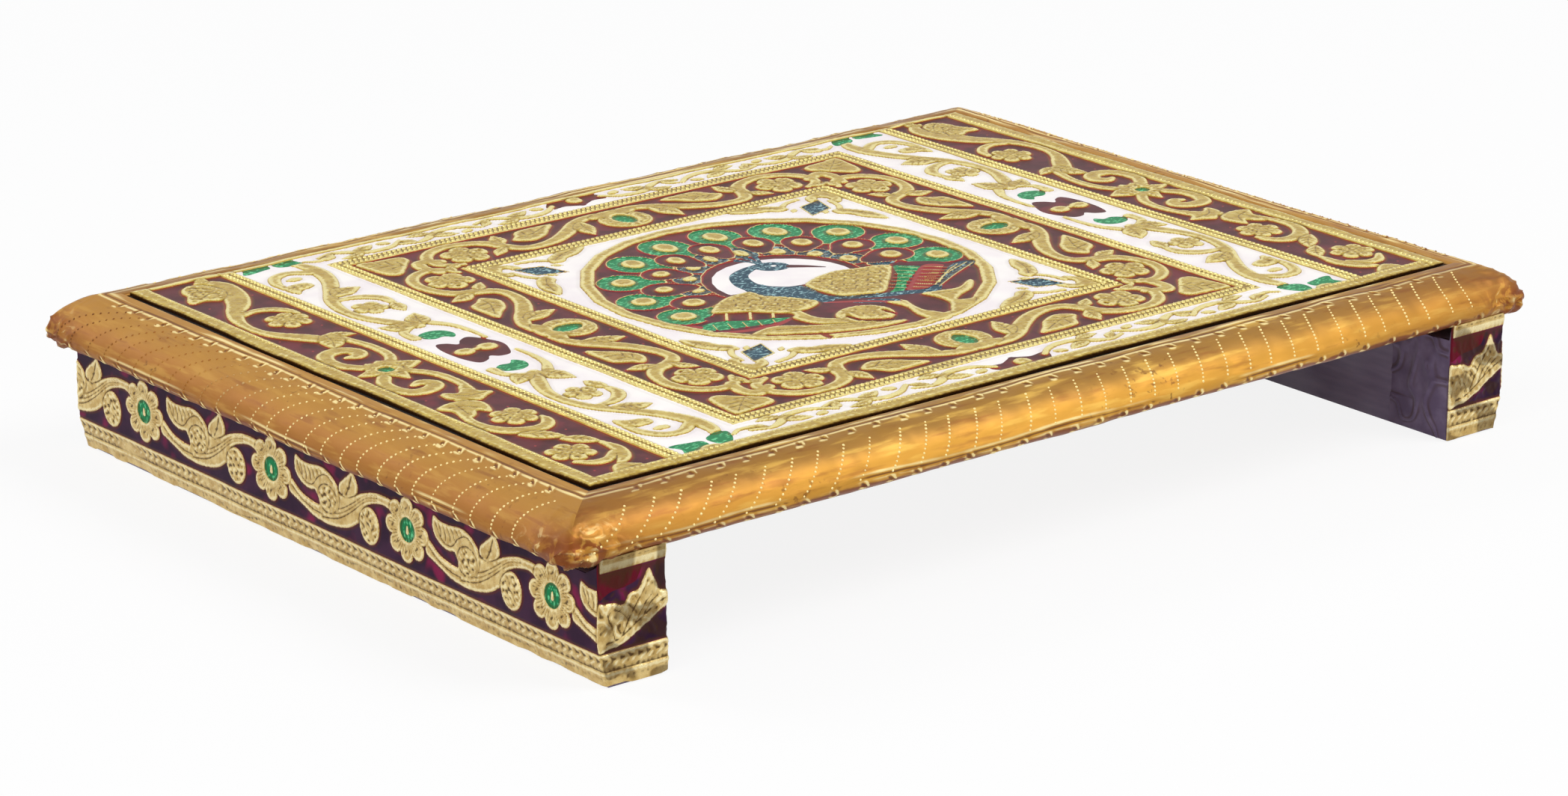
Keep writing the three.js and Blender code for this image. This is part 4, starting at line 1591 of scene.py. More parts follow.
@dataclass
class BeadMaker:
    """Merges many small closed domes into one piece."""

    name: str
    pitch: float = 1.9
    radius: float = 0.92
    height: float = 0.5
    stretch: Point = (1.12, 0.74)
    slant: float = 62.0
    sides: int = 8

    def __post_init__(self) -> None:
        """Starts the mesh."""
        self.maker = MeshMaker(self.name)

    def row(self, start: Point, end: Point, base: float) -> None:
        """Adds a row of slanted beads.

        Args:
            start: where it begins.
            end: where it ends.
            base: the height that the beads stand on.
        """
        a, b = np.array(start), np.array(end)
        length = float(np.hypot(*(b - a)))
        count = max(2, int(length / self.pitch))
        at = a + (b - a) * ((np.arange(count) + 0.5) / count)[:, None]
        heading = math.atan2(*(b - a)[::-1]) + math.radians(self.slant)
        angles = np.linspace(0, 2 * math.pi, self.sides, endpoint=False)
        along = self.stretch[0] * self.radius * np.cos(angles)
        across = self.stretch[1] * self.radius * np.sin(angles)
        cos, sin = math.cos(heading), math.sin(heading)
        ring = np.stack([along * cos - across * sin, along * sin + across * cos], -1)
        levels = ((1.0, -0.12), (0.94, 0.1), (0.66, 0.78), (0.0, 1.0))
        self.domes(at, ring, levels, base)

    def domes(self, at: Array, ring: Array, levels: Sequence[Point], base: float) -> None:
        """Adds a closed dome at each place.

        Args:
            at: the places, x and y.
            ring: the outline of a dome's foot.
            levels: for each level, the share of the outline and the share of the height.
            base: the height that the domes stand on.
        """
        numbers = {enamel.value: np.float64(-2.0) for enamel in Enamel}
        # The high crest number paints the beads with the gold's painted highlight.
        numbers |= {"gold": np.float64(0.6), "crest": np.float64(0.75)}
        loops = []
        for share, height in levels[:-1]:
            flat = at[:, None, :] + share * ring[None]
            z = np.full(flat.shape[:2], base + height * self.height)
            loops.append(self.maker.points(np.dstack([flat, z]), **numbers))
        apex = np.column_stack([at, np.full(len(at), base + levels[-1][1] * self.height)])
        tops = self.maker.points(apex, **numbers)
        self.maker.domes(loops, tops)


@dataclass
class Peacock:
    """The bird of the medallion, spreading its tail, in the sheet's own coordinates."""

    pen: Pen

    def draw(self) -> None:
        """Draws the tail from the outside in, then the body over it."""
        self.tail()
        self.lower_scrolls()
        self.breast()
        self.feathers()
        self.wings()
        self.neck_and_head()

    def eye(self, centre: Point, radii: Point, heart: Point, enamel: Optional[Enamel]) -> None:
        """Draws one eye of the tail: a gold outline, an enamelled oval and a gold heart.

        Args:
            centre: its middle.
            radii: the enamel's half axes.
            heart: the heart's half axes before it is made smaller.
            enamel: its colour, or None for the ground.
        """
        self.petal(centre, (radii[0] + 0.36, radii[1] + 0.36), Enamel.GOLD)
        self.petal(centre, radii, enamel)
        self.pen.oval(centre, (0.8 * heart[0], 0.8 * heart[1]))

    def petal(self, centre: Point, radii: Point, enamel: Optional[Enamel]) -> None:
        """Fills an oval drawn out to a point towards the medallion's middle.

        Args:
            centre: its middle.
            radii: its half axes.
            enamel: its colour, or None for the ground.
        """
        inward = math.atan2(-centre[1] - 2, -centre[0] - 3)
        points = []
        for k in range(20):
            angle = inward + 2 * math.pi * k / 20
            reach = 1 + 0.6 * math.exp(-((min(k, 20 - k) / 1.5) ** 2))
            across, up = reach * radii[0] * math.cos(angle), reach * radii[1] * math.sin(angle)
            points.append((centre[0] + across, centre[1] + up))
        self.pen.blob(*points, enamel=enamel)

    def tail(self) -> None:
        """Three fans of eyes: green outside, maroon between, blue inside."""
        green = (
            "-52.6,-10,8.2,8,5.4,4.9 -52.6,10.2,8.8,8,5.2,4.8 -45.4,30,8.6,8,5,4.8 "
            "-30.8,43.8,8.2,8.8,4.6,5.4 -11.6,51.6,8.2,9.6,4.8,6.2 9,51.6,8.2,9.4,4.8,6.2 "
            "28,44,8.6,9.2,4.9,6 43.6,30.4,8.6,8.4,5,5 52.2,11,8.2,8.4,4.8,5 52,-9.4,7.8,8.4,4.6,5"
        )
        blue = (
            "-32.4,8,6,4,3,2 -26.8,19.6,5.4,5,3.2,2.8 -18.4,28.4,5,5.6,3,3.2 -8,32.6,5,6.2,2.6,4 "
            "3.6,31.6,5,6.6,2.8,4.4 14,25.8,5.4,6.2,3.6,4 22,16.2,5.6,5.8,3.6,3.2 27,5.4,5.6,6,3.8,3.8 "
            "33.6,-4,3.6,4,0.6,0.6"
        )
        maroon = (
            "-41,-0.4,7.6,7,4.8,4.4 -39.8,16.2,7.4,6.6,3.8,3.4 -30.4,29.8,6.6,6,3.8,3.4 "
            "-17.6,38.4,6.4,7,3.6,4.4 -1.6,41.2,6.6,7.4,3.9,4.9 14,38,6.4,7.4,4,5 27,29,6.6,7,4.3,4.6 "
            "38,16.4,7.4,6.8,4.2,4.4 40.6,0.4,7.8,7,4.4,4.6"
        )
        for eyes, enamel in ((green, Enamel.GREEN), (blue, Enamel.BLUE), (maroon, None)):
            for x, y, wide, high, heart_wide, heart_high in numbers_in(eyes):
                self.eye((x, y), (wide, high), (heart_wide, heart_high), enamel)

    def breast(self) -> None:
        """The white disc behind the neck and the maroon line round it."""
        pen = self.pen
        pen.oval((-3, 0.6), (27.4, 27.2))
        pen.oval((-3, 0.6), (27, 26.8), None)
        pen.oval((-3, 0.2), (24, 23.6), Enamel.WHITE)
        pen.blob("-30,-2 -14,-5 10,-8 26,-5 30,-16 14,-32 -14,-32 -32,-20", enamel=None)

    def neck_and_head(self) -> None:
        """The blue scaled neck, the head with its crest, and the beak."""
        pen = self.pen
        pen.vine("1,18,1.6 -6,16.4,2.2 -12.6,12.4,3 -16.2,5,3.6 -16.4,-2,3.8", enamel=Enamel.BLUE)
        pen.blob(
            "-20.2,0 -19.8,-7.6 -16.4,-13.4 -12.6,-20 -8.6,-26.2 -4,-25 -3.8,-18 -3.2,-8 -7.4,-5.6 "
            "-11.4,-1.6 -13,2", enamel=Enamel.BLUE,
        )
        pen.oval((2.6, 14.6), (6, 4.8), Enamel.BLUE, -25)
        for tip in ((-2.2, 26.4), (1.6, 28.2), (5.4, 27)):
            middle = (1.2 + tip[0]) / 2 + 0.6
            pen.vine((1.2, 18, 0.7), (middle, 23, 0.6), (*tip, 1.1), enamel=Enamel.BLUE)
        pen.vine("7.6,11,1.6 11.6,7.6,1.2 15.6,3.4,0.4", enamel=None)
        pen.oval((3.6, 14.8), (1.0, 0.9), Enamel.WHITE)

    def wings(self) -> None:
        """The two gilt wings with their scales."""
        pen = self.pen
        pen.blob(
            "-2.6,-8.6 3,-5 9,-3.2 15.6,-2.8 22,-4.8 28.4,-6.2 32.4,-9 30,-12.4 25.6,-17.4 19.6,-23.2 "
            "12.6,-29.4 5,-27.4 -1,-24.4 -3.2,-16", rough=True,
        )
        pen.blob(
            "-29.4,-3.2 -20.6,-3.2 -20.2,-9 -15.6,-15 -10.6,-22.6 -12.6,-27 -20,-29.2 -27,-27.6 "
            "-34.6,-19.6 -41,-15.4 -43.6,-12.6 -39.6,-8.6 -34.6,-5.2", rough=True,
        )
        for row in range(5):
            for k in range(6 - abs(row - 1)):
                x, y = 2.6 + 5 * k + 1.4 * row, -8.5 - 4.2 * row
                if x + 1.1 * y < 18:
                    pen.line((x - 2.2, y + 1.4), (x, y - 0.8), (x + 2.2, y + 1.4))
        for row in range(5):
            for k in range(4):
                x, y = -37 + 5 * k + 2.6 * row, -8 - 4 * row
                pen.line((x - 2, y + 1.2), (x, y - 0.8), (x + 2, y + 1.2))

    def feathers(self) -> None:
        """The pleated bands of green, red and blue below the wings."""
        pen = self.pen
        pen.blob(
            "13,-31 18,-28 28,-17.6 31,-12.6 34,-9.4 40,-14 36.4,-17.6 25.4,-25.4 19,-31.6",
            enamel=Enamel.GREEN,
        )
        pen.vine("35,-8,1.5 41,-12.6,2.6 46,-17.4,2.6 44,-21,1.4", enamel=None)
        pen.blob("19.6,-32 26,-26.4 40.4,-15 46.4,-18.2 43.6,-21.4 28.4,-33.6 22,-34", enamel=Enamel.RED)
        pen.blob(
            "25,-36.4 30,-33.6 47.6,-20.6 56.4,-20.6 54.4,-24.6 45.6,-27 33.6,-33.8 28,-38.4",
            enamel=Enamel.BLUE,
        )
        for k in range(7):
            x, y = 17.4 + 2.9 * k, -28 + 2.45 * k
            pen.vine((x - 1.2, y + 1.4, 0.22), (x + 2.8, y - 3, 0.22))
            pen.vine((x + 5.2, y - 3.4, 0.22), (x + 9.2, y - 7.2, 0.22))
        pen.vine("29,-34.4,0.22 40,-27.2,0.22 54,-21.6,0.22")
        pen.vine("29,-36.4,0.22 42,-29.4,0.22 55,-23.4,0.22")
        pen.vine("32,-33,0.22 42,-25.6,0.22 50,-21.4,0.22")
        for k in range(8):
            x, y = 23 + 2.8 * k, -31.5 + 1.7 * k
            pen.vine((x, y, 0.2), (x + 4.6, y - 4.6, 0.2))
        pen.vine(
            "-4,-23.4,1.6 3,-27.8,1.8 11,-31.6,1.9 18,-34,1.9 25,-36.8,1.8 29,-35,1.2", enamel=Enamel.BLUE,
        )
        pen.vine("-1,-31.6,1.2 4,-34.6,2 9.6,-38,1.8", enamel=Enamel.BLUE)
        pen.vine("-9,-26.4,0.7 -1,-31,0.9 6,-36.6,0.9 10,-40,0.6", enamel=Enamel.RED)
        pen.vine("-47,-17.2,2.6 -39.6,-20.6,3 -33.6,-25.4,3 -27.6,-30,2.2", enamel=None)
        for at in ((-42.6, -18.8), (-36.4, -22.8), (-31, -27.4)):
            pen.vine((at[0] - 2, at[1] - 2.6, 0.5), (at[0] + 1.8, at[1] + 2.4, 0.5))
        pen.blob(
            "-57,-23 -52.6,-20.4 -46.6,-20.8 -38,-26.4 -27.6,-31.4 -34,-32.6 -44,-30 -53,-27",
            enamel=Enamel.GREEN,
        )
        for k in range(5):
            x, y = -51 + 4.4 * k, -22.4 - 1.9 * k
            pen.vine((x, y, 0.2), (x - 1.8, y - 4.6, 0.2))
        pen.vine("-58,-17.4,1.2 -55.6,-21.4,1.4", enamel=Enamel.RED)
        pen.vine("-54.6,-28.8,0.8 -46,-33,1.2 -36,-34.4,1.2 -28.4,-32.6,0.8", enamel=Enamel.RED)

    def lower_scrolls(self) -> None:
        """The branch, the scroll, the long leaf and the drop under the bird."""
        pen = self.pen
        pen.vine("-24.4,-27,3.2 -24.8,-36,3 -22,-42,3 -15,-47.4,3")
        pen.oval((-7.6, -44), (10, 8.6), rough=True)
        pen.vine("-13.4,-43,1 -12.4,-48,1.1 -6.6,-52,1.3 -1,-54.4,1.5", enamel=None)
        pen.vine("-0.4,-44.6,0.9 0.2,-49,0.8", enamel=None)
        pen.blob(
            "-48.4,-38 -42,-35.8 -36,-36.6 -29.6,-41.4 -20,-47.4 -9,-53 -1,-56.4 -10,-57.4 -24,-54 "
            "-36.6,-46.4 -46.6,-40.6",
        )
        pen.line("-44,-37.6 -32,-43.6 -18,-50.6 -5,-55.6")
        pen.vine("-44.6,-42,0.8 -38,-46.8,0.7 -30,-52,0.9 -16,-57.2,0.8 -3,-58.6,0.7", enamel=Enamel.RED)
        pen.vine("-31,-50.4,0.8 -31.4,-55,1.2", enamel=Enamel.RED)
        pen.vine("8.4,-38.6,2.6 9.6,-46,2.2 8,-54,3 9,-60,4")
        pen.blob("14,-37.6 18.4,-39.6 20,-46 19.4,-51.6 14.6,-56.2 10,-53 10.6,-45", enamel=None)
        pen.blob(
            "20,-38.6 25.4,-39.6 33,-41 40.6,-37 41.6,-39 36,-44.4 29,-47.4 25,-50.6 30,-53 24,-58 "
            "14,-60.6 16.6,-56.4 20.8,-51 21.4,-45",
        )
        pen.line("24,-42 31,-43.4 38,-40")


@dataclass
class RunnerSheet:
    """The enamelled strip wrapped round a runner's outer face and ends.

    Each line along its foot has a height, a width and how far it rises, and each crease of an end face a
    height, a width and a depth. The painted and gold areas are drawn a little past the strip's edges.
    """

    outer: float = 183.0
    inner: float = 158.0
    half_length: float = 136.5
    foot_inset: float = 3.2
    foot_rise: float = 11.0
    bottom: float = 0.4
    top: float = 33.55
    flap_top: float = 37.1
    end_top: float = 38.7
    flap_length: float = 6.0
    return_length: float = 26.0
    corner: float = 1.1
    thickness: float = 0.5
    band_top: float = 10.5
    strip_bottom: float = 31.9
    flower_pitch: float = 70.5
    braid_line: float = 8.4
    braid_bottom: float = 6.3
    braid_pitch: float = 3.2
    band_lines: tuple[Three, ...] = ((4.0, 0.8, 0.2), (5.2, 0.35, -0.14), (6.0, 0.3, -0.1), (10.1, 0.4, 0.18))
    end_creases: tuple[Three, ...] = ((32.5, 0.16, 0.2), (33.1, 0.12, 0.14))
    end_crimp_top: float = 31.6
    past: float = 4.0
    past_top: float = 50.0
    flower_height: float = 22.4
    flower_teeth: int = 40
    step: float = 0.39
    finish: EnamelledSheet = EnamelledSheet(
        "runner_enamel_work", shade(46, 22, 46), shade(62, 32, 58), shade(138, 26, 74), shade(96, 28, 56),
        gold=shade(192, 160, 96), gold_light=shade(220, 194, 132), gold_painted_highlight=shade(255, 244, 196),
        gold_painted_shade=shade(72, 48, 22),
    )

    def path(self, s: Array) -> tuple[Array, Array]:
        """The plan of the wrapped strip at distances along it.

        Args:
            s: distances from the start of the first return.

        Returns:
            The places in plan and the outward directions there, for the right runner.
        """
        x0, x1, y1 = self.inner, self.outer, self.half_length
        start = (x0, self.return_length - y1)
        corners = [(x0, -y1), (x1, -y1), (x1, y1), (x0, y1)]
        stops = [start, *corners, (x0, y1 - self.return_length)]
        runs = np.diff(np.array(stops, float), axis=0)
        lengths = np.hypot(runs[:, 0], runs[:, 1])
        headings = runs / lengths[:, None]
        reached = np.r_[0, np.cumsum(lengths)]
        places = np.zeros(s.shape + (2,))
        normals = np.zeros(s.shape + (2,))
        for k, heading in enumerate(headings):
            part = (s >= reached[k] - 1e-9) & (s <= reached[k + 1] + 1e-9)
            places[part] = np.array(stops[k]) + heading * (s[part] - reached[k])[:, None]
            normals[part] = (heading[1], -heading[0])
        radius = self.corner
        for corner, turn_at, before, after in zip(corners, reached[1:], headings, headings[1:]):
            part = np.abs(s - turn_at) < radius
            angle = (s[part] - turn_at + radius) / (2 * radius) * math.pi / 2
            out = -after[None] * np.cos(angle)[:, None] + before[None] * np.sin(angle)[:, None]
            places[part] = np.array(corner) - before * radius + after * radius + radius * out
            normals[part] = out
        return places, normals

    @property
    def length(self) -> float:
        """The whole way along the strip."""
        return 2 * self.return_length + 2 * (self.outer - self.inner) + 2 * self.half_length

    def inset(self, z: Array) -> Array:
        """How far the outer face is drawn in at a height, towards the foot."""
        t = np.sqrt(np.clip(1 - np.clip(z / self.foot_rise, 0, 1), 0, 1))
        return self.foot_inset * (0.33 * t + 0.67 * t**2)

    @property
    def ends(self) -> tuple[Point, Point]:
        """Where the two end faces start and stop along the strip.

        Returns:
            Both stretches.
        """
        width = self.outer - self.inner
        near = self.return_length
        far = near + width + 2 * self.half_length
        return (near, near + width), (far, far + width)

    def on_end(self, s: Array) -> Array:
        """1 on the runner's end faces, 0 on its long face."""
        return np.max([np.clip(np.minimum(s - a, b - s) + 0.8, 0, 1) for a, b in self.ends], axis=0)

    def draw(self, drawing: Drawing, first_flower: float) -> None:
        """Draws the flowers and leaves along the strip, its gold edges and its painted turned-in ends.

        Args:
            drawing: what it is drawn on.
            first_flower: how far along the strip the first flower stands.
        """
        whole = Pen(drawing)
        for k in range(-1, 6):
            self.draw_unit(Pen(drawing, (first_flower + k * self.flower_pitch, 0.0)))
        whole.rectangle(Enamel.GOLD, -self.past, -self.past, self.length + self.past, self.band_top)
        for near, _ in self.ends:
            self.draw_end(Pen(drawing, (near, 0.0)))
        painted = self.return_length - 0.5
        for x0, x1 in ((-self.past, painted), (self.length - painted, self.length + self.past)):
            whole.rectangle(Enamel.PAINT, x0, -self.past, x1, self.past_top)

    def draw_end(self, pen: Pen) -> None:
        """Draws the leaf and the upper gold strip of an end face.

        Args:
            pen: X runs across the face.
        """
        width = self.outer - self.inner
        pen.rectangle(None, -0.4, self.band_top, width + 0.4, self.past_top)
        pen.blob("0,27 5,28.4 10,29 14,30 16,33 8,36 0,36", enamel=Enamel.CRIMSON)
        pen.blob(
            "-0.6,11.6 4,11.5 8,12 13.6,14.5 18.4,17.2 23,19.7 25.6,21.4 25.6,24.6 22,25.6 20.6,28.4 "
            "18.6,31 16.6,30.2 14.4,27.4 11.3,26.6 9,23.9 6,25 3,25.2 -0.6,24.6",
        )
        pen.line("3,13.4 8,14.4 14,18 20,21.4 24,22.8", width=0.28)
        pen.line("9,15.4 12,21 17.6,29", width=0.28)
        left = "11,18.6,6,23 12.6,21.8,9.6,23.6 14,24.2,12,25.8"
        right = "13,17.8,18.6,24.6 16,19.6,21,24 6,14,3.4,22 8,15.4,5.8,19"
        for x0, y0, x1, y1 in numbers_in(left, right):
            pen.line((x0, y0), ((x0 + x1) / 2, (y0 + y1) / 2 + 0.7), (x1, y1), width=0.2)
        pen.rectangle(Enamel.GOLD, 0.8, self.strip_bottom, width + 0.4, self.past_top)

    def draw_unit(self, pen: Pen) -> None:
        """Draws one flower, and the stem with its leaf, bud, arm and pod that leads to the next.

        Args:
            pen: X runs along the strip from the flower's middle.
        """
        pen.blob(
            "9.5,18.2 13,16.6 18,14.9 22,13.6 27,13 32,13 38,14 42,15.4 45,17.2 47,18.6 48.4,22.4 52,25.2 "
            "57,26.6 61,26.5 63.5,25.3 66,28.2 62,29.6 58,29.8 54,29.4 50,28.3 46,26.8 42,25 38,24.5 "
            "34,24.5 28,24 25.5,20 25.5,18.2 22,18.1 16,19.4 11,22.4 9.5,22.6",
        )
        for lift in (0.0, 1.9, 3.8):
            pen.line(
                (27 + lift, 14.6 + lift), (35 + 0.6 * lift, 16.2 + lift), (42 + 0.4 * lift, 20 + 0.9 * lift),
                (50, 25.6 + 0.5 * lift), (56, 27.2 + 0.5 * lift), width=0.3,
            )
        pen.line("11,20.4 16,17.4 22,15.8 27,15.4", width=0.3)
        pen.blob("36.7,25 36.4,27.4 38.4,29.4 41,31.4 43,32.9 45,31 46,28.6 45.5,26.5 43,25 40,24")
        pen.line("43,31.5 41.5,27.5 40,25", width=0.36)
        self.pits(pen, (41.5, 27.5), (37.8, 24.6))
        pen.blob(
            "13.5,30.7 12.8,28 13.3,25.5 15.2,23.4 18,22.1 21,21.7 23.5,22.2 25,20.5 27,17.5 31,16.5 "
            "35,18.5 36.6,22 36,25.6 34.4,27.6 32,29.3 29,30.3 26,30.5 23,30 20,29.7 16.5,29.8",
        )
        pen.oval((30.4, 21.2), (5.1, 4.5), rough=True)
        pen.line("14.5,29 17,24.8 20,23.4 23,24 26,27 30,28.6 33.5,26.8", width=0.3)
        left = "16,29.4,17.2,25.4 18,29.4,19.5,24.6 20,29.3,22,24.8"
        right = "22,29.3,24,26 24,29.6,26,27.6 26.4,29.8,27.6,28.4"
        for x0, y0, x1, y1 in numbers_in(left, right):
            pen.line((x0, y0), ((x0 + x1) / 2 + 0.4, (y0 + y1) / 2), (x1, y1), width=0.26)
        pen.oval((51.5, 18.4), (5.1, 5.9), rough=True)
        middle = (0, self.flower_height)
        pen.oval(middle, (9.8, 9.3), lobes=8, depth=0.24)
        for k in range(self.flower_teeth):
            angle = 2 * math.pi * (k + 0.5) / self.flower_teeth
            far = 8.6 if k % 5 else 6.6
            c, s = math.cos(angle), math.sin(angle)
            pen.line((4.9 * c, middle[1] + 4.9 * s), (far * c, middle[1] + 0.95 * far * s), width=0.2)
        for k in range(8):
            angle = math.radians(45 * k)
            self.pits(pen, (6.9 * math.cos(angle), middle[1] + 6.7 * math.sin(angle)))
        pen.oval(middle, (4.3, 4.4))
        pen.oval(middle, (3.7, 3.8), Enamel.GREEN)
        pen.vine("0,23.4,0.3 0.1,21.6,0.7")

    def pits(self, pen: Pen, *places: Point) -> None:
        """Punches small dark pits."""
        for x, y in places:
            pen.line((x - 0.5, y - 0.3), (x, y), (x + 0.4, y + 0.4), width=0.6)

    def relief(self, drawing: Drawing, s: Array, z: Array) -> Array:
        """How far each point stands out from the strip's plane.

        Args:
            drawing: what is drawn.
            s: the points' way along the strip.
            z: their height.

        Returns:
            The distances outwards.
        """
        gold = drawing.layers[Enamel.GOLD]
        raised = 0.5 * (1 - np.exp(-np.clip(gold + 0.15, 0, None) / 0.35)) + 0.12 * bell(gold - 0.5, 0.32)
        engraved = 0.2 * drawing.groove * (gold > 0.1)
        pebbles = 0.1 * drawing.pebble * Waves(21, 1.7).at(s, z)
        stipple = 0.02 * (gold > 0) * Waves(25, 1.5).at(s, z)
        (near, _), (_, far) = self.ends
        turned_in = np.clip(np.maximum(near - s, s - far) / 2, 0, 1)
        below = np.clip((self.band_top - z) / 0.5, 0, 1) * (1 - turned_in)
        over = z - self.braid_line
        lean = np.where(over > 0, 1.0, -1.0)
        twist = np.sin(2 * math.pi * (s + lean * over * 1.1) / self.braid_pitch)
        braid = 0.1 * bell(over, 2.1) ** 0.5 * twist * (z > self.braid_bottom) - 0.12 * bell(over, 0.35)
        lines = sum(rise * bell(z - height, width) for height, width, rise in self.band_lines)
        ruffle = 0.14 * np.clip((4.6 - z) / 3, 0, 1) * Waves(23, 14).ridges(0.5 * s, z * 2.2)
        on_end = self.on_end(s) * np.clip((z - self.band_top) / 2, 0, 1)
        creases = -on_end * sum(cut * bell(z - height, width) for height, width, cut in self.end_creases)
        on_end = on_end * np.clip((self.end_crimp_top - z) / 1.2, 0, 1)
        crimp = on_end * 0.24 * (Waves(29, 8).ridges(s, z) - 0.5) + 0.05 * on_end * Waves(37, 2.6).at(s, z)
        wrinkles = 0.8 * turned_in * (Waves(35, 11).ridges(s * 1.1, z * 0.7) ** 3 - 0.25)
        uneven = 0.14 * Waves(27, 38).at(s, z * 1.5)
        worked = below * (braid + lines - 0.1 - ruffle) + crimp + creases + wrinkles
        height = raised - engraved + pebbles + stipple + worked + uneven - 0.4
        return np.maximum(height, np.where(z < self.band_top, -0.26, -0.7))

    def build(self, turn: float, first_flower: float, name: str, material: Material) -> Piece:
        """Makes one runner's sheet, in place of the CAD node of the same name.

        Args:
            turn: the angle that brings the right runner to this one.
            first_flower: how far along the strip the first flower stands.
            name: the piece's name.
            material: its finish.

        Returns:
            The piece.
        """
        s = even_line(0, self.length, self.step)
        z = even_line(self.bottom, self.top, self.step)
        drawing = Drawing(s, z)
        self.draw(drawing, first_flower)
        grid_s, grid_z = np.meshgrid(s, z)
        height = self.relief(drawing, grid_s, grid_z)
        plan, normal = self.path(s)
        lift = self.lift_ends(s)
        wobble = 0.45 * Waves(31, 12).at(grid_s, 0 * grid_s) * np.clip((4 - grid_z) / 4, 0, 1)
        lifted = lift[None] * np.clip((grid_z - 30) / (self.top - 30), 0, 1)
        real_z = grid_z + lifted + np.clip(wobble, -0.1, 0.5)
        outer = self.placed(plan, normal, real_z, grid_z, height)
        inner = self.placed(plan, normal, real_z, grid_z, np.full_like(height, -0.35 - self.thickness))
        spin = turned(turn)
        maker = MeshMaker(name)
        # Darker brown patches on the end faces.
        grime = 0.8 * self.on_end(grid_s) * np.clip(0.5 + Waves(39, 9).at(grid_s, grid_z), 0, 1)
        numbers = drawing.numbers() | {"crest": crests(height, drawing.reach), "grime": grime}
        closed_sheet(maker, outer @ spin, inner @ spin, row_gap=8, column_gap=24, **numbers)
        return settle(maker.build(), material, Slot.RUNNER, name)

    def lift_ends(self, s: Array) -> Array:
        """How much higher the sheet stands at the runner's ends, under the moulding's overhang.

        Args:
            s: the way along the strip.

        Returns:
            The height added there.
        """
        (_, start), (stop, _) = self.ends
        end = np.max([np.minimum(s - a, b - s) / 1.5 + 1 for a, b in self.ends], axis=0)
        side = np.where((s > start) & (s < stop), 1 - np.minimum(s - start, stop - s) / self.flap_length, 0)
        ends = (self.end_top - self.top) * np.clip(end, 0, 1)
        return np.maximum(ends, (self.flap_top - self.top) * np.clip(side, 0, 1))

    def placed(self, plan: Array, normal: Array, real_z: Array, flat_z: Array, out: Array) -> Array:
        """Places of the strip's points.

        Args:
            plan: the strip's line in plan.
            normal: the outward directions along it.
            real_z: the points' heights.
            flat_z: their heights on the flat strip.
            out: how far they stand out.

        Returns:
            The places, rows by columns.
        """
        x = plan[None, :, 0] + out * normal[None, :, 0]
        y = plan[None, :, 1] + out * normal[None, :, 1]
        share = np.clip((x - self.inner) / (self.outer - self.inner), 0, 1)
        x = x - self.inset(flat_z) * share
        return np.stack([x, y, real_z], -1)


def closed_sheet(
    maker: MeshMaker, outer: Array, inner: Array, row_gap: int, column_gap: int, **numbers: Array
) -> None:
    """Adds a closed thin sheet: a fine outer skin, a coarse inner skin and the edges between them.

    Args:
        maker: what it is added to.
        outer: the outer skin's places, rows by columns.
        inner: the inner skin's places on the same grid, of which only some are used.
        row_gap: how many rows the inner skin skips at a time.
        column_gap: how many columns it skips at a time.
        numbers: values stored on the outer skin.
    """
    rows, columns = outer.shape[:2]
    front = maker.points(outer, **numbers)
    maker.skin(front)
    kept_rows = sorted(set(range(0, rows, row_gap)) | {rows - 1})
    kept_columns = sorted(set(range(0, columns, column_gap)) | {columns - 1})
    used = np.zeros((rows, columns), bool)
    used[np.ix_(kept_rows, kept_columns)] = True
    used[0] = used[-1] = True
    used[:, 0] = used[:, -1] = True
    back = np.full((rows, columns), -1)
    edge_numbers = {key: np.broadcast_to(values, (rows, columns))[used] for key, values in numbers.items()}
    back[used] = maker.points(inner[used], **edge_numbers)
    for r0, r1 in zip(kept_rows, kept_rows[1:]):
        for c0, c1 in zip(kept_columns, kept_columns[1:]):
            low = [c for c in range(c0, c1 + 1) if used[r0, c]]
            high = [c for c in range(c0, c1 + 1) if used[r1, c]]
            right = [r for r in range(r0 + 1, r1) if used[r, c1]]
            left = [r for r in range(r0 + 1, r1) if used[r, c0]]
            loop = [back[r0, c] for c in low] + [back[r, c1] for r in right]
            loop += [back[r1, c] for c in reversed(high)] + [back[r, c0] for r in reversed(left)]
            maker.polygon(loop[::-1])
    maker.wall(front[0], back[0])
    maker.wall(front[-1][::-1], back[-1][::-1])
    maker.wall(front[:, 0][::-1], back[:, 0][::-1])
    maker.wall(front[:, -1], back[:, -1])


@dataclass(frozen=True)
class PunchedArcs:
    """How dotted arcs run across a moulding, each number given at the moulding's start, middle and end."""

    pitch: float
    first: Three
    last: Three
    lean: Three
    hook: Three
    notches: tuple[float, ...]

    def at(self, numbers: Three, share: float) -> float:
        """One of the numbers at a share of the way along."""
        return float(np.interp(share, (0.0, 0.5, 1.0), numbers))

    def arc(self, share: float) -> Array:
        """One arc: rows of the way along the moulding from the arc's top, and the way round its section.

        Args:
            share: how far along the moulding the arc stands.

        Returns:
            The places of its dots.
        """
        first, last = self.at(self.first, share), self.at(self.last, share)
        t = np.linspace(0, 1, int((last - first) / 1.05))
        hook = self.at(self.hook, share)
        sway = hook * (1 - (1 - t) ** 2.2) + (1 - hook) * t**2.4
        return np.column_stack([-self.at(self.lean, share) * sway, first + (last - first) * t])


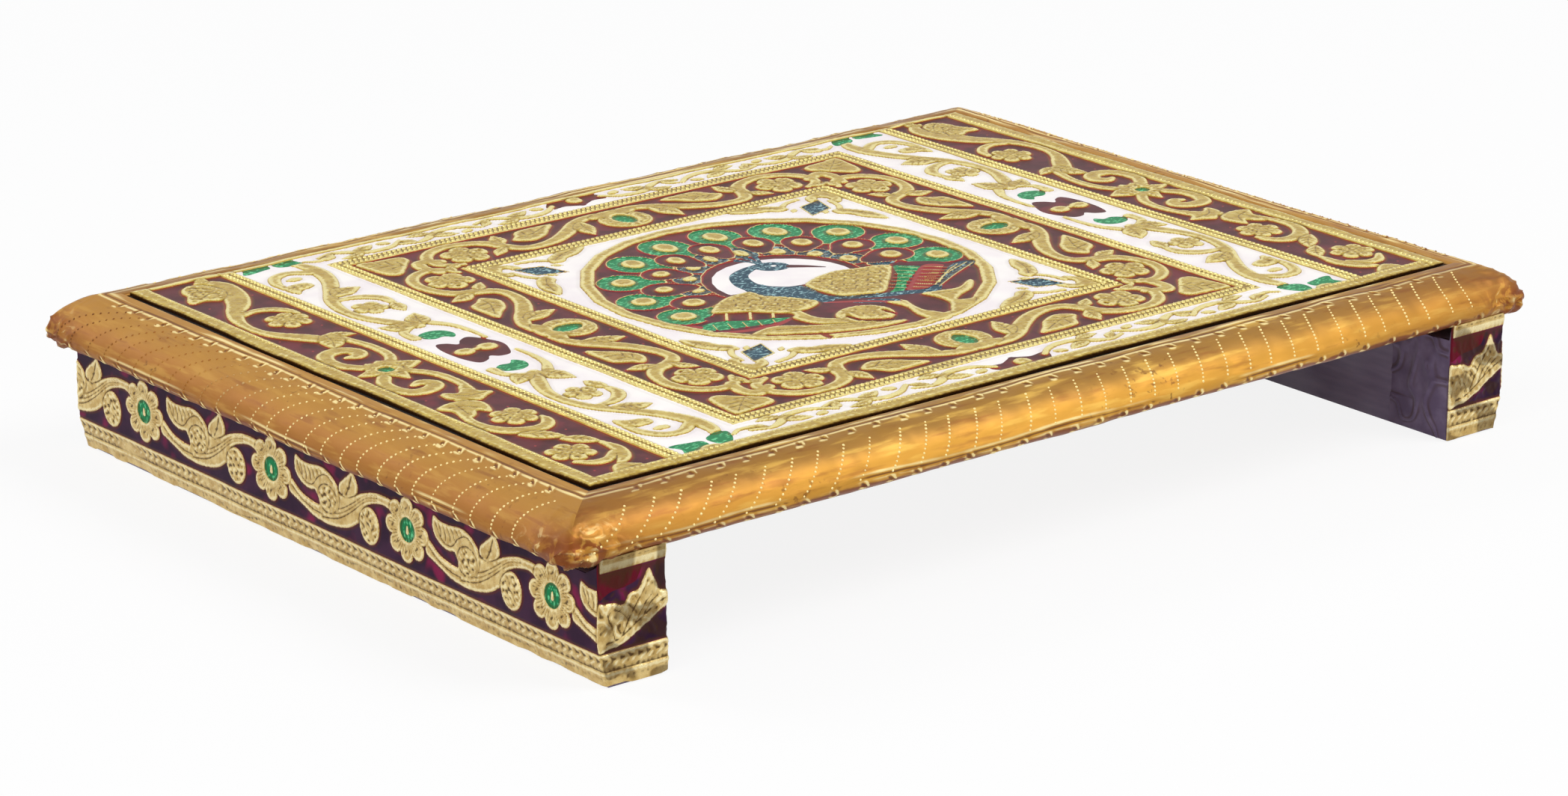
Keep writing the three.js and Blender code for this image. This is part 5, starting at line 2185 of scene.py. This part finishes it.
@dataclass
class FoilMoulding:
    """Foil folded over one bullnose moulding, punched with dotted arcs and crumpled at the mitres."""

    side: Side
    half_run: float
    distance: float
    arcs: PunchedArcs
    seed: int
    worn: float = 0.0
    overhang: Point = (4.0, 1.5)
    width: float = 18.0
    nose_height: float = 41.6
    fullness: float = 1.75
    nose_radii: Point = (5.0, 4.4)
    pocket: Point = (8.6, 2.7)
    pocket_height: float = 36.1
    wood_gap: float = 0.85
    underside: float = 33.9
    top: float = 53.3
    groove_face: float = 0.4
    groove_depth: float = 2.6
    lip: float = 1.5
    crown_start: float = 3.5
    hem: float = 1.0
    lining: float = 0.68
    corner: float = 5.0
    tight_corner: float = 2.0
    tight_until: float = 14.0
    fold_line: float = 25.4
    second_line: float = 6.2
    outline: Point = (190.5, 137.5)
    spread_from: float = 174.0
    gathered_reach: float = 15.0
    dulled_reach: float = 70.0
    step: float = 0.55

    def section(self) -> tuple[Array, Array, Array]:
        """The moulding in section, from the groove over the nose to the hem.

        Returns:
            The distances outwards from the panel, the heights, and the outward directions.
        """
        def arc(centre: Point, radii: Point, start: float, end: float) -> Array:
            """Points and directions along an elliptical arc, angles in degrees."""
            length = math.radians(abs(end - start)) * (radii[0] + radii[1]) / 2
            angle = np.radians(np.linspace(start, end, max(3, int(length / grid_step(self.step)) + 1)))
            c, s = np.cos(angle), np.sin(angle)
            out = np.stack([c / radii[0], s / radii[1]], -1)
            out /= np.linalg.norm(out, axis=1, keepdims=True)
            return np.column_stack([centre[0] + radii[0] * c, centre[1] + radii[1] * s, out])

        heights = (self.top - self.groove_depth, self.top - self.lip - 0.3)
        wall = np.array([(self.groove_face, height, -1.0, 0.0) for height in heights])
        lip = arc((self.groove_face + self.lip, self.top - self.lip), (self.lip, self.lip), 180, 92)
        wide, high = self.width - self.crown_start, self.top - self.nose_height
        t = np.radians(np.linspace(90, 0, int(1.1 * math.hypot(wide, high) / grid_step(self.step))))
        c, s = np.clip(np.cos(t), 1e-6, 1), np.clip(np.sin(t), 0, 1)
        power = 2 / self.fullness
        slope = np.stack([c ** (2 - power) / wide, s ** (2 - power) / high], -1)
        slope /= np.linalg.norm(slope, axis=1, keepdims=True)
        across, up = self.crown_start + wide * c**power, self.nose_height + high * s**power
        crown = np.column_stack([across, up, slope])
        inward, down = self.nose_radii
        under = arc((self.width - inward, self.nose_height), self.nose_radii, 0, -88)[1:]
        ledge = self.nose_height - down
        outer_end, inner_end = self.pocket
        pocket = [(u, self.pocket_height, 0.0, -1.0) for u in even_line(outer_end, inner_end, 1.2)]
        cove = np.array([
            (self.width - inward - 1.7, ledge - 0.1, 0.0, -1.0),
            (outer_end + 1.2, ledge - 0.5, 0.3, -0.95),
            *pocket,
            (inner_end - 0.4, 0.5 * (self.pocket_height + self.underside), 0.96, -0.3),
            (inner_end - 0.7, self.underside, 0.5, -0.85), (self.hem, self.underside, 0.0, -1.0),
        ])
        rows = np.vstack([wall, lip, crown, under, cove])
        return rows[:, 0], rows[:, 1], rows[:, 2:]

    def spread(self, places: Array) -> Array:
        """Moves the mouldings out to the overhang that each side has.

        Args:
            places: the places before it.

        Returns:
            The places after it.
        """
        x = places[..., 0]
        share = np.clip((np.abs(x) - self.spread_from) / (self.outline[0] - self.spread_from), 0, 1.05)
        outward = np.where(x < 0, -self.overhang[0], self.overhang[1]) * share
        return places + np.stack([outward, 0 * x, 0 * x], -1)

    def core(self, timber: Material) -> Piece:
        """Makes the wooden moulding under the foil, mitred at both ends.

        Args:
            timber: its finish.

        Returns:
            The piece.
        """
        u, z, out = self.section()
        u, z = u - self.wood_gap * out[:, 0], z - self.wood_gap * out[:, 1]
        u = np.r_[u, 0.05, 0.05]
        z = np.r_[z, z[-1], z[0]]
        share = np.sin(np.linspace(-1, 1, 81) * math.pi / 2)
        plan = np.array([self.line(float(distance), share)[0] for distance in u])
        places = np.dstack([plan, np.broadcast_to(z[:, None], plan.shape[:2])])
        maker = MeshMaker(f"edge_moulding_{self.side.word}")
        loop = maker.points(self.spread(places @ turned(self.side.value)))
        maker.skin(np.vstack([loop, loop[:1]]))
        maker.polygon(loop[:, 0])
        maker.polygon(loop[::-1, -1])
        return settle(maker.build(), timber, Slot.WOOD, maker.name)

    def line(self, u: float, share: Array) -> tuple[Array, Array]:
        """One line of the moulding in plan, straight and then rounded to both mitres.

        Args:
            u: its distance outwards from the panel.
            share: places along it, -1 to 1.

        Returns:
            The places in plan, and the outward directions.
        """
        wide = max(0.0, (u - self.tight_until) / (self.width - self.tight_until)) ** 2
        radius = self.tight_corner * min(1.0, u / self.tight_until) + (self.corner - self.tight_corner) * wide
        radius = max(0.05, radius)
        reach = self.half_run + u - radius
        arc = radius * math.pi / 4
        s = share * (reach + arc)
        hand = np.sign(s)
        over = np.clip(np.abs(s) - reach, 0, None) / radius
        x = hand * (np.minimum(np.abs(s), reach) + radius * np.sin(over))
        y = -(self.distance + u - radius + radius * np.cos(over))
        return np.stack([x, y], -1), np.stack([hand * np.sin(over), -np.cos(over)], -1)

    def build(self, material: Material) -> Piece:
        """Makes the foil with its folds, dents and punched dots.

        Args:
            material: its finish.

        Returns:
            The piece.
        """
        u, z, out = self.section()
        columns = even_line(-1, 1, self.step / (self.half_run + self.width))
        plan = np.zeros((len(u), len(columns), 2))
        away = np.zeros_like(plan)
        for k, distance in enumerate(u):
            plan[k], away[k] = self.line(float(distance), columns)
        places = np.dstack([plan, np.broadcast_to(z[:, None], plan.shape[:2])])
        normals = np.dstack([away * out[:, None, :1], np.broadcast_to(out[:, None, 1], plan.shape[:2])])
        spin = turned(self.side.value)
        places, normals = places @ spin, normals @ spin
        travel = np.r_[0, np.cumsum(np.hypot(np.diff(u), np.diff(z)))]
        reach = self.half_run + self.width
        dent = self.dents(places, travel, u) + self.notches(travel, columns * reach)
        folds = self.folds(places)
        near = max(1, int(round(1.1 / grid_step(self.step))))
        crest = crests(dent, near, 0.1) + 0.3 * crests(folds, 2 * near, 0.3)
        dent = np.clip(dent + folds, -0.56, 0.85)
        outer = self.spread(places + normals * dent[..., None])
        inner = self.spread(places - normals * self.lining)
        maker = MeshMaker(f"moulding_foil_{self.side.word}")
        height = places[..., 2]
        gathered = 1.5 * self.gathered(places, self.gathered_reach)
        numbers = {
            "round": np.broadcast_to((travel / travel[-1])[:, None], dent.shape),
            # The first rows, on the groove wall, get the painted shadow.
            "grime": np.broadcast_to(np.clip((2.2 - travel) / 0.8, 0, 1)[:, None], dent.shape),
            "crest": crest,
            "dull": (0.45 - 0.4 * self.worn) * self.gathered(places, self.dulled_reach),
            "gathered": np.clip(gathered * np.clip((51 - height) / 8, 0, 1), 0, 1),
        }
        closed_sheet(maker, outer, inner, row_gap=6, column_gap=40, **numbers)
        self.punch(maker, travel, outer, normals, columns)
        return settle(maker.build(), material, Slot.FOIL, maker.name)

    def dents(self, places: Array, travel: Array, u: Array) -> Array:
        """How far the foil stands out or in, in millimetres.

        Args:
            places: the smooth surface.
            travel: the distance round the section of each row.
            u: the distance outwards of each row.

        Returns:
            The displacement of each place.
        """
        x, y, z = places[..., 0], places[..., 1], places[..., 2]
        soft = 0.12 * Waves(41, 40).at(x, y, z) + 0.05 * Waves(43, 9).at(x, y, z)
        wander = np.clip(0.6 + 0.6 * Waves(53, 50).at(x, y, z), 0, 1)
        way = travel[:, None] + 0.35 * Waves(55, 60).at(x, y, z)
        lines = 0.22 * bell(way - self.second_line, 0.42) + 0.2 * bell(way - self.fold_line, 0.5) * wander
        ledge = 0.1 * bell(way - self.fold_line + 1.2, 0.7) * wander
        ledge = ledge + 0.08 * bell(way - self.second_line - 1.1, 0.6)
        edge = np.clip((u - 1.2) / 2.0, 0, 1)[:, None]
        return (soft + ledge) * edge - lines - 0.06

    def gathered(self, places: Array, reach: float) -> Array:
        """How near a corner each place is, from 0 along the runs to 1 at the corner."""
        inward = np.abs(places[..., :2]) - np.array(self.outline)
        return bell(np.hypot(inward[..., 0], inward[..., 1]), reach)

    def folds(self, places: Array) -> Array:
        """The pleats and creases of the foil where it is gathered in at the corners.

        Args:
            places: the smooth surface.

        Returns:
            The displacement of each place.
        """
        x, y, z = places[..., 0], places[..., 1], places[..., 2]
        pleats = Waves(47, 7, 12).ridges(0.7 * x, 0.7 * y, 1.1 * z) ** 2 - 0.25
        low = np.clip((52 - z) / 12, 0.3, 1)
        fine = 0.35 * Waves(49, 4.5, 12).at(x, y, z)
        return self.gathered(places, self.gathered_reach) * low * (1.3 * pleats + fine)

    def notches(self, travel: Array, run: Array) -> Array:
        """The punched notches beside the arcs' ends, each a dent with a raised lip.

        Args:
            travel: the distance round the section of each row.
            run: the distance along the moulding of each column.

        Returns:
            The displacement of each place.
        """
        random = np.random.default_rng(self.seed + 100)
        out = np.zeros((len(travel), len(run)))
        pitch = self.arcs.pitch
        for row in self.arcs.notches:
            count = int((2 * self.half_run + 16) / pitch)
            for k in range(count):
                at = (k - (count - 1) / 2) * pitch + random.uniform(-0.9, 0.9)
                strength = random.uniform(0.45, 1.0)
                lean = random.uniform(0.3, 0.8)
                columns = slice(*np.searchsorted(run, (at - 4, at + 4)))
                a = run[None, columns] - at
                b = travel[:, None] - row - random.uniform(-0.3, 0.3)
                dent = bell(a - lean * b, 0.75) * bell(b, 0.75)
                lip = bell(a - lean * b - 1.5, 0.55) * bell(b, 1.0) + bell(a, 1.4) * bell(b - 1.5, 0.45)
                out[:, columns] += strength * (0.3 * lip - 0.5 * dent)
        return out

    def punch(self, maker: MeshMaker, travel: Array, outer: Array, normals: Array, columns: Array) -> None:
        """Adds the dots of the punched arcs.

        Args:
            maker: the foil's mesh.
            travel: the distance round the section of each row.
            outer: the finished surface.
            normals: its outward directions.
            columns: the places along the run of each column, -1 to 1.
        """
        random = np.random.default_rng(self.seed)
        reach = self.half_run + self.width
        count = int(2 * (self.half_run + 12) / self.arcs.pitch)
        dots: list[Array] = []
        for k in range(count):
            start = (k - (count - 1) / 2) * self.arcs.pitch + 0.5 * self.arcs.lean[1]
            start += random.uniform(-0.8, 0.8)
            arc = self.arcs.arc((start / reach + 1) / 2)
            size = 0.42 + 0.05 * np.sin(np.arange(len(arc)) * 1.7 + k) + random.uniform(-0.05, 0.04)
            arc = np.column_stack([arc[:, 0] + start, arc[:, 1], size])
            within = np.abs(arc[:, 0]) < self.half_run + np.interp(arc[:, 1], travel, self.section()[0]) - 1.5
            dots.append(arc[within])
        places = np.vstack(dots)
        rows = np.interp(places[:, 1], travel, np.arange(len(travel)))
        cols = np.interp(places[:, 0] / reach, columns, np.arange(len(columns)))
        # The crest number paints the dots with a painted highlight, fading to dark towards one end on the
        # worn foils.
        shine = np.clip(0.9 - 1.9 * self.worn * np.clip(-places[:, 0] / reach, -0.2, 1), -0.8, 0.9)
        dome_on(maker, outer, normals, rows, cols, places[:, 2], crest=shine, grime=0.0, round=0.5)


def dome_on(
    maker: MeshMaker, outer: Array, normals: Array, rows: Array, cols: Array,
    radii: Array, **numbers: float | Array,
) -> None:
    """Adds small closed domes on a curved surface.

    Args:
        maker: the mesh that they join.
        outer: the surface's places, rows by columns.
        normals: its outward directions.
        rows: the row of each dome, with its fraction.
        cols: the column of each dome, with its fraction.
        radii: the radius of each.
        numbers: values stored on them, one for all or one for each.
    """
    r = np.clip(rows.astype(int), 0, outer.shape[0] - 2)
    c = np.clip(cols.astype(int), 0, outer.shape[1] - 2)
    fr, fc = (rows - r)[:, None], (cols - c)[:, None]

    def sample(grid: Array) -> Array:
        """The grid's value at each dome."""
        low = grid[r, c] * (1 - fc) + grid[r, c + 1] * fc
        high = grid[r + 1, c] * (1 - fc) + grid[r + 1, c + 1] * fc
        return low * (1 - fr) + high * fr

    centre, out = sample(outer), sample(normals)
    out /= np.linalg.norm(out, axis=1, keepdims=True)
    along = outer[r, c + 1] - outer[r, c]
    along -= out * (along * out).sum(1, keepdims=True)
    along /= np.linalg.norm(along, axis=1, keepdims=True)
    across = np.cross(out, along)
    angles = np.linspace(0, 2 * math.pi, 6, endpoint=False)
    shape = (len(radii), len(angles))
    stored = {name: np.broadcast_to(np.reshape(value, (-1, 1)), shape) for name, value in numbers.items()}
    circle = along[:, None] * np.cos(angles)[None, :, None] + across[:, None] * np.sin(angles)[None, :, None]
    loops = []
    for share, height in ((1.0, -0.5), (0.95, 0.05), (0.55, 0.5)):
        ring = centre[:, None] + circle * (share * radii)[:, None, None]
        loops.append(maker.points(ring + out[:, None] * (height * radii)[:, None, None], **stored))
    first = {name: value[:, 0] for name, value in stored.items()}
    tops = maker.points(centre + out * (0.68 * radii)[:, None], **first)
    maker.domes(loops, tops)


@dataclass
class FoilTack:
    """A round-headed tack that holds the foil under a moulding, pointing up into the wood."""

    name: str
    centre: Point
    head_radius: float = 2.1
    head_depth: float = 1.1
    shank_radius: float = 0.55
    shank_length: float = 4.4
    seat: float = 36.0
    sides: int = 28

    def build(self, brass: Material) -> Piece:
        """Turns the tack's outline about its axis.

        Args:
            brass: its finish.

        Returns:
            The piece.
        """
        steps = np.radians(np.linspace(90, 0, 9))
        dome = [(self.head_radius * math.cos(t), -self.head_depth * math.sin(t)) for t in steps]
        outline = dome[1:] + [(self.head_radius, 0.12), (self.shank_radius, 0.14)]
        outline.append((self.shank_radius, self.shank_length - 1))
        x, y = self.centre
        angles = np.linspace(0, 2 * math.pi, self.sides, endpoint=False)
        rings = []
        for r, z in outline:
            rings.append([(x + r * math.cos(a), y + r * math.sin(a), self.seat + z) for a in angles])
        maker = MeshMaker(self.name)
        index = maker.points(np.array(rings))
        maker.skin(np.hstack([index, index[:, :1]]), flip=True)
        maker.polygon(index[0][::-1])
        tip = maker.points(np.array([[x, y, self.seat + self.shank_length]]))
        for k in range(self.sides):
            maker.polygon([index[-1][k], index[-1][(k + 1) % self.sides], tip[0]])
        return settle(maker.build(), brass, Slot.TACK, self.name)


@dataclass
class Mouldings:
    """The wood and the foil of the four mouldings, and the tacks under the long ones."""

    half_length: float = 172.5
    half_depth: float = 119.5
    long_finish: GoldFoil = GoldFoil(
        "gold_foil_long", shade(158, 114, 44), shade(202, 146, 50), shade(230, 186, 86),
        along_x=True, metal=0.45, roughness=(0.36, 0.5),
    )
    short_finish: GoldFoil = GoldFoil(
        "gold_foil_short", shade(178, 128, 52), shade(160, 104, 36), shade(196, 150, 72),
        along_x=False, metal=0.3, roughness=(0.5, 0.62),
    )
    long_wood: Timber = Timber("moulding_wood_grain_long", shade(168, 120, 74), shade(112, 72, 40))
    short_wood: Timber = Timber("moulding_wood_grain_short", shade(168, 120, 74), shade(112, 72, 40), False)
    long_arcs: PunchedArcs = PunchedArcs(
        10.4, (14, 12, 8.5), (26.4, 23.4, 22.6), (11, 3.2, 10.6), (0, 0.5, 1), (8.0, 27.0)
    )
    short_arcs: PunchedArcs = PunchedArcs(
        9.4, (8.5, 8.5, 9), (25.2, 25.2, 25), (16, 19, 19), (1, 1, 1), (8.0, 26.7)
    )
    brass: BareMetal = BareMetal("brass_tacks", shade(196, 150, 70), shade(120, 82, 34))

    def build(self) -> None:
        """Makes the tacks, then each side's foil and wood."""
        brass = self.brass.material()
        for name in [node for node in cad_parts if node.startswith("foil_tack")]:
            low, high = (np.array(corner) * 1000 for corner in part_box(name))
            FoilTack(name, ((low[0] + high[0]) / 2, (low[1] + high[1]) / 2)).build(brass)
        long_foil, short_foil = self.long_finish.material(), self.short_finish.material()
        long_wood, short_wood = self.long_wood.material(), self.short_wood.material()
        for side, seed in ((Side.FRONT, 61), (Side.RIGHT, 62), (Side.BACK, 63), (Side.LEFT, 64)):
            if side in (Side.FRONT, Side.BACK):
                moulding = FoilMoulding(side, self.half_length, self.half_depth, self.long_arcs, seed)
                moulding.build(long_foil)
                moulding.core(long_wood)
            else:
                moulding = FoilMoulding(side, self.half_depth, self.half_length, self.short_arcs, seed, 1.0)
                moulding.build(short_foil)
                moulding.core(short_wood)


@dataclass
class Runners:
    """The sheets of the two runners, whose repeats start at different places."""

    sheet: RunnerSheet = field(default_factory=RunnerSheet)
    first_left: float = 20.5
    first_right: float = 0.0

    def build(self) -> None:
        """Makes both sheets."""
        material = self.sheet.finish.material()
        self.sheet.build(math.pi, self.first_left, "runner_sheet_left", material)
        self.sheet.build(0.0, self.first_right, "runner_sheet_right", material)


@dataclass
class CarriedNodes:
    """The CAD nodes that keep their meshes and get a finish."""

    board: Timber = Timber("board_wood_grain", grimed_edge=(168.0, 115.0, 50.0))
    paint: BrushedPaint = BrushedPaint("runner_paint_brushed", shade(112, 98, 124), shade(142, 128, 154))
    steel: BareMetal = BareMetal("steel_nails", shade(172, 172, 176), shade(96, 84, 74))

    def finish_for(self, node: str, made: dict[str, Material]) -> Material:
        """The finish of a node, made once for each kind.

        Args:
            node: the node's name.
            made: the materials made so far, by name.

        Returns:
            Its material.
        """
        if node == "board":
            kind = self.board
        elif node in ("runner_left", "runner_right"):
            kind = self.paint
        else:
            kind = self.steel
        if kind.name not in made:
            made[kind.name] = kind.material()
        return made[kind.name]

    def build(self) -> None:
        """Gives every node that still shows its finish."""
        made: dict[str, Material] = {}
        for name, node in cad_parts.items():
            if node.hide_render:
                continue
            material = self.finish_for(name, made)
            if not node.material_slots:
                node.data.materials.append(material)
            for place in node.material_slots:
                place.material = material
            LOG.info("%s: %s", name, material.name)


@dataclass
class Studio:
    """The pale floor, the soft light and the camera."""

    camera_at: Three = (-0.9754, -1.1839, 0.5203)
    camera_looks: Three = (0.6022, 0.7341, -0.3139)
    lens: float = 115.98
    sensor: float = 36.0
    floor_half: float = 3.0
    floor_glow: float = 0.87
    floor_height: float = -0.0001
    room_light: float = 0.42

    def build(self) -> None:
        """Sets up everything round the object."""
        self.place_camera()
        self.lay_floor()
        self.hang_lights()
        self.light_world()
        bpy.context.scene.view_settings.view_transform = "Standard"

    def place_camera(self) -> None:
        """Puts the camera where the photograph was taken from."""
        data = bpy.data.cameras.new("camera")
        data.lens = self.lens
        data.sensor_width = self.sensor
        data.clip_start = 0.05
        data.clip_end = 30
        camera = bpy.data.objects.new("camera", data)
        camera.location = self.camera_at
        camera.rotation_euler = Vector(self.camera_looks).to_track_quat("-Z", "Y").to_euler()
        bpy.context.scene.collection.objects.link(camera)
        bpy.context.scene.camera = camera

    def lay_floor(self) -> None:
        """Lays a pale floor that shows white and keeps the shadow."""
        half = self.floor_half
        mesh = bpy.data.meshes.new("floor")
        corners = [(-half, -half, self.floor_height), (half, -half, self.floor_height)]
        corners += [(-x, -y, z) for x, y, z in corners]
        mesh.from_pydata(corners, [], [(0, 1, 2, 3)])
        floor = bpy.data.objects.new("floor", mesh)
        bpy.context.scene.collection.objects.link(floor)
        board = NodeBoard(bpy.data.materials.new("pale_floor"))
        matt = board.node("BsdfDiffuse", {"Color": (0.9, 0.9, 0.91, 1)})
        glow = board.node("Emission", {"Color": (1, 1, 1, 1), "Strength": 1.0})
        share = board.times(self.seen(board), self.floor_glow)
        chosen = board.node("MixShader", {0: share, 1: matt.outputs[0], 2: glow.outputs[0]})
        board.node("OutputMaterial", {"Surface": chosen.outputs[0]})
        mesh.materials.append(board.owner)

    def seen(self, board: NodeBoard) -> Socket:
        """1 for rays that look at the background directly, in metal or through glass, else 0.

        Args:
            board: where its nodes go.

        Returns:
            The number.
        """
        rays = board.node("LightPath").outputs
        straight = board.math("MAXIMUM", rays["Is Camera Ray"], rays["Is Transmission Ray"])
        return board.math("MAXIMUM", straight, rays["Is Glossy Ray"])

    def hang_lights(self) -> None:
        """Hangs three large soft lamps and a small low one, which lights a streak on the front moulding."""
        lamps = (
            ("key", (1.0, -1.3, 2.0), 1.5, 30.0),
            ("low", (1.3, -1.9, 0.6), 0.5, 4.0),
            ("fill", (-1.9, -0.6, 1.1), 1.4, 13.0),
            ("back", (-1.3, 1.7, 1.5), 1.0, 16.0),
        )
        for name, at, size, power in lamps:
            data = bpy.data.lights.new(name, "AREA")
            data.shape = "DISK"
            data.size = size
            data.energy = power
            lamp = bpy.data.objects.new(name, data)
            lamp.location = at
            lamp.rotation_euler = (-Vector(at)).to_track_quat("-Z", "Y").to_euler()
            bpy.context.scene.collection.objects.link(lamp)

    def light_world(self) -> None:
        """Lights everything softly from all round, and shows white behind the object."""
        world = bpy.data.worlds.new("soft_room")
        board = NodeBoard(world)
        extra = board.times(self.seen(board), 1 - self.room_light)
        strength = board.math("ADD", extra, self.room_light)
        background = board.node("Background", {"Color": (1, 1, 1, 1), "Strength": strength})
        board.node("OutputWorld", {"Surface": background.outputs[0]})
        bpy.context.scene.world = world


def main() -> None:
    """Builds the stool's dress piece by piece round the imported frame."""
    logging.basicConfig(level=logging.INFO, format="%(name)s %(message)s")
    Studio().build()
    TopSheet().build()
    Mouldings().build()
    Runners().build()
    CarriedNodes().build()


if __name__ == "__main__":
    main()
